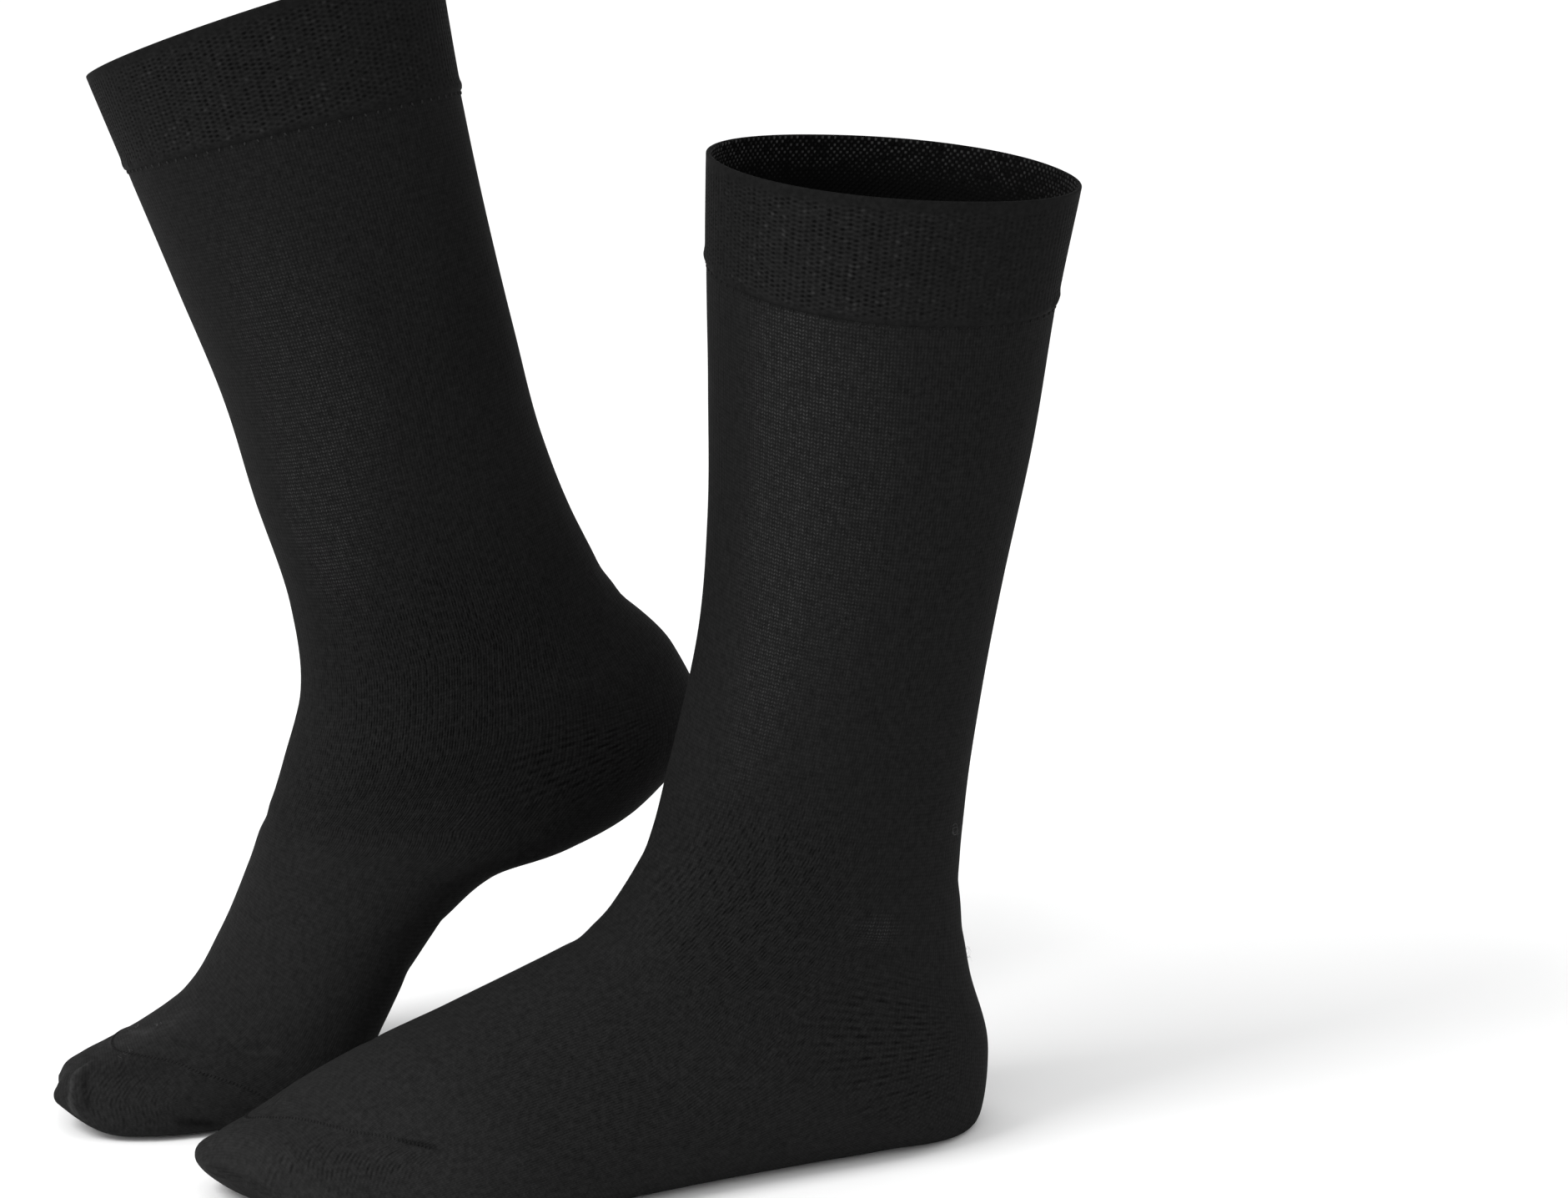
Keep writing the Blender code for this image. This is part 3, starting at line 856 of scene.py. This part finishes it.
def build_cuff(sock):
    """The doubled band round the top, one sheet from its hem over the rim and down inside."""
    profile = cuff_profile()
    along = profile[:, 0]
    shares = np.arange(AROUND) / AROUND
    angle = wale_angles(sock, along, shares)
    ahead, out = directions(sock, along[:, None], angle)
    relief = profile[:, 1:2] + cuff_relief(profile, shares)
    points = tube(sock, along[:, None], angle) + out * relief[..., None] - ahead * profile[:, 2, None, None]
    path = np.cumsum(np.hypot(np.diff(profile[:, 1]), np.diff(profile[:, 0] - profile[:, 2])))
    path = np.concatenate([[0.0], path])
    faces, corner_rows, corner_columns = grid_faces(len(profile), AROUND)
    uvs = np.stack([corner_columns / COLUMNS_PER_WALE, (path[corner_rows] - path[2]) / CUFF_COURSE], axis=-1)
    feels = cuff_feels(sock, profile, angle)
    return mesh_object(f"{sock['name']}_cuff_knit", sock, points.reshape(-1, 3), faces, uvs, feels=feels)


# ======== Sewn and loose thread ========

BEAD_AROUND, BEAD_RINGS, BEAD_END = 6, 4, 0.8
BEAD_CAPS = ((0, 5, 4, 3), (0, 3, 2, 1))
HEM_LOOP_SIZE = (0.60, 0.36, 0.30)
HEM_LOOP_EVERY, HEM_LOOP_DOWN, HEM_LOOP_OUT = 2, 0.3, 0.10
HEM_LOOP_LEANS = (0.35, -0.25)
LINK_SIZE = (0.55, 0.22, 0.20)
LINK_SPACING, LINK_LEAN = 1.15, 0.55


def bead_faces():
    """The faces of a small closed bead: rings of points, with flat ends."""
    faces, _, _ = grid_faces(BEAD_RINGS, BEAD_AROUND)
    first = np.array(BEAD_CAPS)
    last = first[:, ::-1] + (BEAD_RINGS - 1) * BEAD_AROUND
    return np.concatenate([faces, first, last])


def beads(sock, name, middles, long_way, up, size):
    """Many small oval stitches in one mesh. Each has its middle, its long direction and its outward one."""
    long_way, up = unit(long_way), unit(up)
    side = unit(np.cross(up, long_way))
    tilt = np.linspace(-BEAD_END, BEAD_END, BEAD_RINGS) * math.pi / 2
    turn = np.arange(BEAD_AROUND) / BEAD_AROUND * 2 * math.pi
    a = np.repeat(np.sin(tilt), BEAD_AROUND) * size[0]
    b = np.outer(np.cos(tilt), np.cos(turn)).ravel() * size[1]
    c = np.outer(np.cos(tilt), np.sin(turn)).ravel() * size[2]
    points = (
        middles[:, None, :]
        + a[None, :, None] * long_way[:, None, :]
        + b[None, :, None] * side[:, None, :]
        + c[None, :, None] * up[:, None, :]
    )
    number = BEAD_RINGS * BEAD_AROUND
    faces = (bead_faces()[None] + np.arange(len(middles))[:, None, None] * number).reshape(-1, 4)
    across, up_bead = faces % BEAD_AROUND / BEAD_AROUND, faces // BEAD_AROUND % BEAD_RINGS / BEAD_RINGS
    uvs = np.stack([across, up_bead], axis=-1)
    return mesh_object(name, sock, points.reshape(-1, 3), faces, uvs)


def hem_loops(sock):
    """The row of transferred loops that closes the cuff's hem on to the leg."""
    shares = np.arange(0, WALES, HEM_LOOP_EVERY) / WALES
    along = np.full(len(shares), CUFF_END + HEM_LOOP_DOWN)
    angle = wale_angles(sock, along[:1], shares)[0]
    ahead, out = directions(sock, along, angle)
    middles = tube(sock, along, angle) + out * HEM_LOOP_OUT
    lean = np.where(np.arange(len(shares)) % 2, *HEM_LOOP_LEANS)[:, None]
    long_way = ahead + np.cross(out, ahead) * lean
    return beads(sock, f"{sock['name']}_hem_loops", middles, long_way, out, HEM_LOOP_SIZE)


def toe_links(sock):
    """The small stitches of the seam that closes the toe, each lying across it."""
    along, angle, curve = curve_points(sock, TOE_SEAMS[sock["name"]])
    steps = np.concatenate([[0.0], np.cumsum(np.linalg.norm(np.diff(curve, axis=0), axis=1))])
    number = int(steps[-1] / LINK_SPACING)
    at = (np.arange(number) + 0.5) * steps[-1] / number
    along, angle = np.interp(at, steps, along), np.interp(at, steps, angle)
    points = tube(sock, along, angle)
    _, out = directions(sock, along, angle)
    way = unit(np.gradient(points, axis=0))
    across = np.cross(out, way) + way * LINK_LEAN
    middles = points + out * SEAM_RIDGE
    return beads(sock, f"{sock['name']}_toe_seam_stitches", middles, across, out, LINK_SIZE)


FIBRE_SIDES, FIBRE_STEPS = 4, 9
FIBRE_THICK, FIBRE_TAPER = 0.035, 1.15
FIBRE_TURN, FIBRE_SWAY, FIBRE_RISE = 0.9, 0.5, 0.45
FIBRE_SHORTEST, FIBRE_LONGEST, FIBRE_CURL = 0.6, 1.2, 0.8
FIBRE_CAP = (0, 3, 2, 1)
# Stray fibres: where a tuft grows, how many, how long and how wide the tuft is.
TUFT_COLUMNS = ("course", "angle", "number", "length", "spread")
TUFTS = {
    "front": (
        (184, -137, 5, 5.0, 1.2),
        (222, -158, 6, 3.5, 1.6),
        (300, 60, 3, 3.0, 5.0),
        (120, 120, 3, 3.0, 8.0),
    ),
    "rear": (
        (394, -9, 4, 3.0, 1.5),
        (384, 6, 4, 2.5, 1.5),
        (398, 19, 4, 3.0, 2.0),
        (150, -120, 3, 3.0, 8.0),
    ),
}
FIBRE_SEEDS = {"front": 23, "rear": 29}


def fibre(start, outward, sideways, length, curl):
    """The points and faces of one thin curved fibre."""
    t = np.linspace(0.0, 1.0, FIBRE_STEPS)[:, None]
    bend = np.sin(t * math.pi * FIBRE_TURN + curl) - math.sin(curl)
    spine = start + outward * t * length * FIBRE_RISE + sideways * bend * length * FIBRE_SWAY
    way = unit(np.gradient(spine, axis=0))
    flat = unit(np.cross(outward, sideways))[None, :] + 0 * way
    one = unit(np.cross(way, flat))
    two = np.cross(way, one)
    turn = np.arange(FIBRE_SIDES) / FIBRE_SIDES * 2 * math.pi
    ring = one[:, None] * np.cos(turn)[None, :, None] + two[:, None] * np.sin(turn)[None, :, None]
    points = spine[:, None] + ring * FIBRE_THICK * (FIBRE_TAPER - t)[:, None]
    faces, _, _ = grid_faces(FIBRE_STEPS, FIBRE_SIDES)
    cap = np.array([FIBRE_CAP])
    faces = np.concatenate([faces, cap, cap[:, ::-1] + (FIBRE_STEPS - 1) * FIBRE_SIDES])
    return points.reshape(-1, 3), faces


def stray_fibres(sock):
    """Short fibres and lint that stand off the cloth, in one mesh."""
    rng = np.random.default_rng(FIBRE_SEEDS[sock["name"]])
    all_points, all_faces, first = [], [], 0
    for row in TUFTS[sock["name"]]:
        tuft = named(TUFT_COLUMNS, row)
        for _ in range(tuft["number"]):
            along = np.array([tuft["course"] + rng.uniform(-1, 1) * tuft["spread"]])
            angle = np.radians([tuft["angle"] + rng.uniform(-1, 1) * tuft["spread"]])
            ahead, out = directions(sock, along, angle)
            around = np.cross(out, ahead)
            swing = rng.uniform(0, 2 * math.pi)
            sideways = ahead[0] * math.cos(swing) + around[0] * math.sin(swing)
            length = tuft["length"] * rng.uniform(FIBRE_SHORTEST, FIBRE_LONGEST)
            curl = rng.uniform(0, FIBRE_CURL)
            points, faces = fibre(tube(sock, along, angle)[0], out[0], sideways, length, curl)
            all_points.append(points)
            all_faces.append(faces + first)
            first += len(points)
    points, faces = np.concatenate(all_points), np.concatenate(all_faces)
    return mesh_object(f"{sock['name']}_stray_fibres", sock, points, faces, np.zeros(faces.shape + (2,)))


# ======== Materials ========

# How deep each cloth's bump is in millimetres, and how bright the painted glints on its open stitches are.
CLOTH_COLUMNS = ("bump", "painted_glint")
CLOTHS = {"leg": (0.16, 0.030), "heel": (0.16, 0.020), "foot": (0.16, 0.015), "toe": (0.16, 0.015)}
BLACK = 0.0088
ROUGHNESS, SPECULAR, SHEEN, SHEEN_ROUGHNESS = 0.70, 0.01, 0.005, 0.35
NAP_SCALE, NAP_DETAIL, NAP_TONE, NAP_BUMP = 650.0, 4.0, 0.6, 0.35
# The stitches: the slant of their legs, how much of them always shows, their painted light and rare painted
# glints.
LEG_SLANT, STITCH_SHOWS = 0.4, 0.30
STITCH_GROUND, STITCH_PAINTED_LIGHT, PAINTED_GLINT_RARITY = 0.8, 0.7, 2.0
# Dashes in the gaps: how dark their painted shade is, how narrow and rare they are, and how light the cloth
# is beside them, as painted light on the ridges, and between them.
DASH_PAINTED_SHADE, DASH_NARROW, DASH_RARITY, RIDGE_PAINTED_LIGHT, DASH_GROUND = 0.75, 1.4, 0.45, 0.40, 1.1
GAPS_PER_WALE = 2.0
# How long a dash is, in courses, and its random seed.
RIB_DASH, RIB_SEED = 3.2, 1.0
STRENGTH_SEED = 0.5
DASH_COLUMNS = ("feel", "length", "seed")
DASHES = (("bends", 3.2, 2.0), ("rows", 3.2, 3.0), ("sweep", 7.0, 4.0))
# The cuff: its mesh outside, with random shifts and depths, painted shade in its holes, painted light on its
# threads and rare painted glints, and the loops on its inside, in painted light on a ground of painted shade.
CUFF_BUMP, MESH_HOLE_SHADE, MESH_UNEVEN = 0.16, 0.66, 0.45
HOLE_SHARP, HOLE_CHANCE, THREADS_PAINTED_LIGHT = 1.30, 0.9, 0.34
MESH_PAINTED_GLINT, MESH_PAINTED_GLINT_RARITY = 0.014, 14.0
INSIDE_PAINTED_SHADE, LOOP_PAINTED_LIGHT = 0.38, 4.5
SHIFT_SEED, DEPTH_SEED, LOOP_SEED = 4.0, 5.0, 6.0


class Value:
    """A number in a material. Sums and products with it add Math nodes."""

    def __init__(self, tree, socket):
        self.tree, self.socket = tree, socket

    def __add__(self, other):
        return math_node(self.tree, "ADD", self, other)

    def __sub__(self, other):
        return math_node(self.tree, "SUBTRACT", self, other)

    def __rsub__(self, other):
        return math_node(self.tree, "SUBTRACT", other, self)

    def __mul__(self, other):
        return math_node(self.tree, "MULTIPLY", self, other)

    def __truediv__(self, other):
        return math_node(self.tree, "DIVIDE", self, other)

    def __pow__(self, other):
        return math_node(self.tree, "POWER", self, other)

    def through(self, operation, *others):
        """The number after another kind of Math node."""
        return math_node(self.tree, operation, self, *others)


def fill(tree, sockets, values):
    """Links each value to its socket, or sets the socket to it if it is a plain number."""
    for socket, value in zip(sockets, values):
        if isinstance(value, Value):
            tree.links.new(value.socket, socket)
        else:
            socket.default_value = value


def math_node(tree, operation, *values):
    """The result of a Math node."""
    node = tree.nodes.new("ShaderNodeMath")
    node.operation = operation
    fill(tree, node.inputs, values)
    return Value(tree, node.outputs[0])


def cosine(turns):
    """The cosine of a number of full turns."""
    return (turns * (2 * math.pi)).through("COSINE")


def wave(value):
    """A wave from 0 to 1, which is 1 at whole numbers."""
    return cosine(value) * 0.5 + 0.5


class Cloth:
    """A matt black material, and what its nodes read from the mesh."""

    def __init__(self, name):
        self.material = bpy.data.materials.new(name)
        self.material.use_nodes = True
        self.tree = self.material.node_tree
        self.shader = self.tree.nodes["Principled BSDF"].inputs
        self.shader["Roughness"].default_value = ROUGHNESS
        self.shader["Specular IOR Level"].default_value = SPECULAR
        self.shader["Sheen Weight"].default_value = SHEEN

    def add(self, kind):
        """A new node."""
        return self.tree.nodes.new(kind)

    def feel(self, name):
        """One of the mesh's numbers for each point."""
        node = self.add("ShaderNodeAttribute")
        node.attribute_name = name
        return Value(self.tree, node.outputs["Fac"])

    def stitch_place(self):
        """Which wale and which course a place is on."""
        place = self.add("ShaderNodeUVMap")
        place.uv_map = "Knit"
        split = self.add("ShaderNodeSeparateXYZ")
        self.tree.links.new(place.outputs[0], split.inputs[0])
        return Value(self.tree, split.outputs[0]), Value(self.tree, split.outputs[1])

    def texture(self, kind, scale):
        """A noise or wave texture in the object's own space."""
        place = self.add("ShaderNodeTexCoord")
        texture = self.add(kind)
        texture.inputs["Scale"].default_value = scale
        self.tree.links.new(place.outputs["Object"], texture.inputs["Vector"])
        return texture

    def nap(self):
        """Fine uneven noise from the fibres of the yarn."""
        noise = self.texture("ShaderNodeTexNoise", NAP_SCALE)
        noise.inputs["Detail"].default_value = NAP_DETAIL
        return Value(self.tree, noise.outputs["Fac"])

    def chance(self, u, v, seed=0.0):
        """White noise: one number from 0 to 1 for each pair of whole numbers."""
        joined = self.add("ShaderNodeCombineXYZ")
        fill(self.tree, joined.inputs, (u, v, seed))
        noise = self.add("ShaderNodeTexWhiteNoise")
        self.tree.links.new(joined.outputs[0], noise.inputs["Vector"])
        return Value(self.tree, noise.outputs["Value"])

    def set_bump(self, height, strength, depth):
        """Joins a height's socket to the shader, as a bump of a depth in millimetres."""
        bump = self.add("ShaderNodeBump")
        bump.inputs["Strength"].default_value = strength
        bump.inputs["Distance"].default_value = depth * MM
        self.tree.links.new(height, bump.inputs["Height"])
        self.tree.links.new(bump.outputs[0], self.shader["Normal"])

    def finish(self, tone, painted_glint, height, depth):
        """Joins the cloth's tone, its painted glints and its bump to the shader, and gives the material."""
        self.shader["Sheen Roughness"].default_value = SHEEN_ROUGHNESS
        colour = self.add("ShaderNodeCombineColor")
        fill(self.tree, colour.inputs, [tone * BLACK + painted_glint] * 3)
        self.tree.links.new(colour.outputs[0], self.shader["Base Color"])
        self.set_bump(height.socket, 1.0, depth)
        return self.material


def felted(nap):
    """The uneven tone that the yarn's fibres give the cloth."""
    return nap * (NAP_TONE * 2) + (1 - NAP_TONE)


def dashes(cloth, across, along, length, seed):
    """Dashes where across is a whole number, broken and uneven at random. They are below 0 beside it."""
    line = wave(across)
    # Beside each dash the line dips below 0, which gives painted light on the ridges there.
    line = line**DASH_NARROW - (1.0 - line) ** DASH_NARROW * RIDGE_PAINTED_LIGHT
    gap = (across + 0.5).through("FLOOR")
    shifted = along / length + cloth.chance(gap, 0.0, seed)
    strength = cloth.chance(gap, shifted.through("FLOOR"), seed + STRENGTH_SEED) ** DASH_RARITY
    ends = (shifted.through("FRACT") * math.pi).through("SINE")
    return line * strength * ends


def v_stitches(cloth, wale, course):
    """The V-shaped stitches, from 0 to 1 at the middle of each leg, and a number for each leg."""
    across = (wale.through("FRACT") - 0.5).through("ABSOLUTE") * 2.0
    down_leg = course + across * LEG_SLANT
    stitch = (across * math.pi).through("SINE") * wave(down_leg)
    return stitch, cloth.chance((wale * 2.0).through("FLOOR"), down_leg.through("FLOOR"))


def knit_material(name, area_name):
    """Black jersey: felted, with painted light and glints on its stitches where it is open, and painted shade
    in dashes in its gaps.
    """
    settings = named(CLOTH_COLUMNS, CLOTHS[area_name])
    cloth = Cloth(name)
    wale, course = cloth.stitch_place()
    opened_and_lit, nap = cloth.feel("open"), cloth.nap()
    stitch, chance = v_stitches(cloth, wale, course)
    gaps = dashes(cloth, wale * GAPS_PER_WALE, course, RIB_DASH, RIB_SEED) * cloth.feel("ribs")
    for row in DASHES:
        dash = named(DASH_COLUMNS, row)
        across, along = cloth.feel(dash["feel"] + "_gap"), cloth.feel(dash["feel"] + "_out")
        drawn = dashes(cloth, across, along, dash["length"], dash["seed"])
        gaps = gaps + drawn * cloth.feel(dash["feel"])
    gaps = gaps.through("MINIMUM", 1.0)
    shown = stitch * (opened_and_lit * (1 - STITCH_SHOWS) + STITCH_SHOWS)
    # Painted shade in the dashes of the gaps, painted light on the ridges beside them, and painted light on
    # the stitches' legs where the cloth is open.
    tone = felted(nap) * (DASH_GROUND - gaps * DASH_PAINTED_SHADE) * (shown * STITCH_PAINTED_LIGHT + STITCH_GROUND)
    # Painted glints on rare stitches where the cloth is open.
    painted_glint = stitch * stitch * chance**PAINTED_GLINT_RARITY * opened_and_lit * settings["painted_glint"]
    height = shown + nap * NAP_BUMP - gaps
    return cloth.finish(tone * cloth.feel("tone"), painted_glint, height, settings["bump"])


def cuff_material(name):
    """The cuff's mock rib: small holes in rows outside, in painted shade, and loops in painted light on
    painted shade inside.
    """
    cloth = Cloth(name)
    wale, course = cloth.stitch_place()
    opened_and_lit, inside, nap = cloth.feel("open"), cloth.feel("inside"), cloth.nap()
    outside = 1.0 - inside
    column = wale.through("FLOOR")
    stagger = (column * 0.5).through("FRACT")
    row = course + (cloth.chance(column, 0.0, SHIFT_SEED) * MESH_UNEVEN + stagger)
    depth = cloth.chance(column, (row + 0.5).through("FLOOR"), DEPTH_SEED)
    between = wale + 0.5
    # Painted shade in the holes and painted light on the threads between them, strongest on each cuff's lit
    # side.
    hole = wave(between) * wave(row) * (depth * HOLE_CHANCE + (1 - HOLE_CHANCE)) * HOLE_SHARP
    holes = hole.through("MINIMUM", 1.0) * opened_and_lit * outside
    threads = (THREADS_PAINTED_LIGHT - wave(row) * THREADS_PAINTED_LIGHT) * opened_and_lit
    picked = cloth.chance(between.through("FLOOR"), (course + 0.5).through("FLOOR"), LOOP_SEED)
    loop = (cosine(wale) * cosine(course * 0.5)).through("MAXIMUM", 0.0)
    tone_outside = felted(nap) * (1.0 - holes * MESH_HOLE_SHADE + threads) * outside
    # Inside, painted light on the loops over a ground of painted shade.
    tone_inside = (loop * picked * opened_and_lit * LOOP_PAINTED_LIGHT + INSIDE_PAINTED_SHADE) * inside
    tone = (tone_outside + tone_inside) * cloth.feel("tone")
    # Rare painted glints on the mesh's stitches.
    painted_glint = wave(wale) * wave(course) * picked**MESH_PAINTED_GLINT_RARITY * opened_and_lit * outside * MESH_PAINTED_GLINT
    height = nap * NAP_BUMP - holes + loop * inside
    return cloth.finish(tone, painted_glint, height, CUFF_BUMP)


# How black the threads are: each sock's hem loops, the toe's seam, and the stray fibres. The rear sock's hem
# loops are painted lighter, as painted highlights on its hem.
THREAD_BLACK_AND_PAINTED_LIGHT = {"front": 0.012, "rear": 0.022}
SEAM_BLACK, LINT_GREY = 0.011, 0.13
TWIST_SCALE, TWIST_DEPTH, TWIST_STRENGTH = 1200.0, 0.05, 0.5


def thread_material(name, grey):
    """A twisted thread: fine ridges across it."""
    thread = Cloth(name)
    thread.shader["Base Color"].default_value = (grey, grey, grey, 1.0)
    ridges = thread.texture("ShaderNodeTexWave", TWIST_SCALE)
    thread.set_bump(ridges.outputs["Fac"], TWIST_STRENGTH, TWIST_DEPTH)
    return thread.material


# ======== The socks ========


def finish_sheet(piece, sock, area_name, cut):
    """Gives a sheet its cloth, hides the part's node it stands for, and works out its cut's area, which isn't
    used.
    """
    width, length, share = cut
    node = f"{sock['name']}_{area_name}"
    cloth = node + "_cloth"
    material = cuff_material(cloth) if area_name == "cuff" else knit_material(cloth, area_name)
    piece.data.materials.append(material)
    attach(piece, "root")
    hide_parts(node)
    flat = (width * MM, length * MM)
    flat[0] * flat[1] * share


def finish_trim(piece, material):
    """Gives a sewn or loose piece its material, and lets it ride with the cloth."""
    piece.data.materials.append(material)
    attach(piece, "root")
    return piece


def build_sock(sock):
    """All the pieces of one sock."""
    name = sock["name"]
    thread = thread_material(f"{name}_thread", THREAD_BLACK_AND_PAINTED_LIGHT[name])
    seam_thread = thread_material(f"{name}_seam_thread", SEAM_BLACK)
    lint = thread_material(f"{name}_lint", LINT_GREY)
    trims = {
        "cuff": [finish_trim(hem_loops(sock), thread)],
        "toe": [finish_trim(toe_links(sock), seam_thread)],
        "leg": [finish_trim(stray_fibres(sock), lint)],
    }
    finish_sheet(build_cuff(sock), sock, "cuff", CUFF_CUT)
    for row in AREAS:
        area = named(AREA_COLUMNS, row)
        cut = (area["cut_width"], area["cut_length"], area["cut_share"])
        finish_sheet(build_sheet(sock, area), sock, area["name"], cut)


# ======== Stage, light and camera ========

FLOOR_SIZE = 24.0
FLOOR_WHITE = (0.95, 0.95, 0.95, 1.0)
CAMERA_AT = (-0.5926, -1.5574, 0.627)
CAMERA_YAW, CAMERA_PITCH = 23.23, 15.75
FOCAL_PIXELS, IMAGE_WIDTH = 7117.0, 1880.0
SENSOR, CAMERA_REACH = 36.0, 100.0
WORLD_STRENGTH, WORLD_SLOPE = 1.0, 0.26
LIGHT_FROM = (-0.956, -0.29, 0.0)
KEY_AT, KEY_AIM = (-1.81, -0.29, 2.1), (0.0, 0.0, 0.1)
KEY_SIZE, KEY_WATTS = 1.1, 44.0


def make_floor():
    """A wide plain white floor, which is also the backdrop."""
    half = FLOOR_SIZE / 2
    corners = [(-half, -half, 0), (half, -half, 0), (half, half, 0), (-half, half, 0)]
    mesh = bpy.data.meshes.new("floor")
    mesh.from_pydata(corners, [], [(0, 1, 2, 3)])
    material = bpy.data.materials.new("floor")
    material.use_nodes = True
    shader = material.node_tree.nodes["Principled BSDF"]
    shader.inputs["Base Color"].default_value = FLOOR_WHITE
    shader.inputs["Roughness"].default_value = 1.0
    shader.inputs["Specular IOR Level"].default_value = 0.0
    mesh.materials.append(material)
    add_object("floor", mesh)


def make_camera():
    """The camera at the photograph's place and angle."""
    data = bpy.data.cameras.new("camera")
    data.sensor_width = SENSOR
    data.lens = FOCAL_PIXELS / IMAGE_WIDTH * SENSOR
    data.clip_end = CAMERA_REACH
    camera = add_object("camera", data)
    camera.location = CAMERA_AT
    camera.rotation_euler = (math.radians(90 - CAMERA_PITCH), 0.0, math.radians(-CAMERA_YAW))
    bpy.context.scene.camera = camera


def make_world():
    """Soft light from all round, stronger from the side that the key light is on."""
    world = bpy.data.worlds.new("studio")
    world.use_nodes = True
    tree = world.node_tree
    place = tree.nodes.new("ShaderNodeTexCoord")
    toward = tree.nodes.new("ShaderNodeVectorMath")
    toward.operation = "DOT_PRODUCT"
    toward.inputs[1].default_value = LIGHT_FROM
    slope = tree.nodes.new("ShaderNodeMath")
    slope.operation = "MULTIPLY_ADD"
    slope.inputs[1].default_value = WORLD_STRENGTH * WORLD_SLOPE
    slope.inputs[2].default_value = WORLD_STRENGTH
    background = tree.nodes["Background"]
    tree.links.new(place.outputs["Generated"], toward.inputs[0])
    tree.links.new(toward.outputs["Value"], slope.inputs[0])
    tree.links.new(slope.outputs[0], background.inputs["Strength"])
    background.inputs["Color"].default_value = (1.0, 1.0, 1.0, 1.0)
    bpy.context.scene.world = world


def make_light():
    """The soft key light, from the left and above."""
    data = bpy.data.lights.new("key", "AREA")
    data.size = KEY_SIZE
    data.energy = KEY_WATTS
    lamp = add_object("key", data)
    lamp.location = KEY_AT
    aim = np.array(KEY_AIM) - np.array(KEY_AT)
    tilt = math.acos(-aim[2] / np.linalg.norm(aim))
    lamp.rotation_euler = (tilt, 0.0, math.atan2(-aim[0], aim[1]))


def set_tone():
    """Plain tones, so that white stays white and black stays black."""
    view = bpy.context.scene.view_settings
    view.view_transform = "Standard"
    view.look = "None"


for pair_row in PAIR:
    build_sock(named(PAIR_COLUMNS, pair_row))
make_floor()
make_world()
make_light()
make_camera()
set_tone()
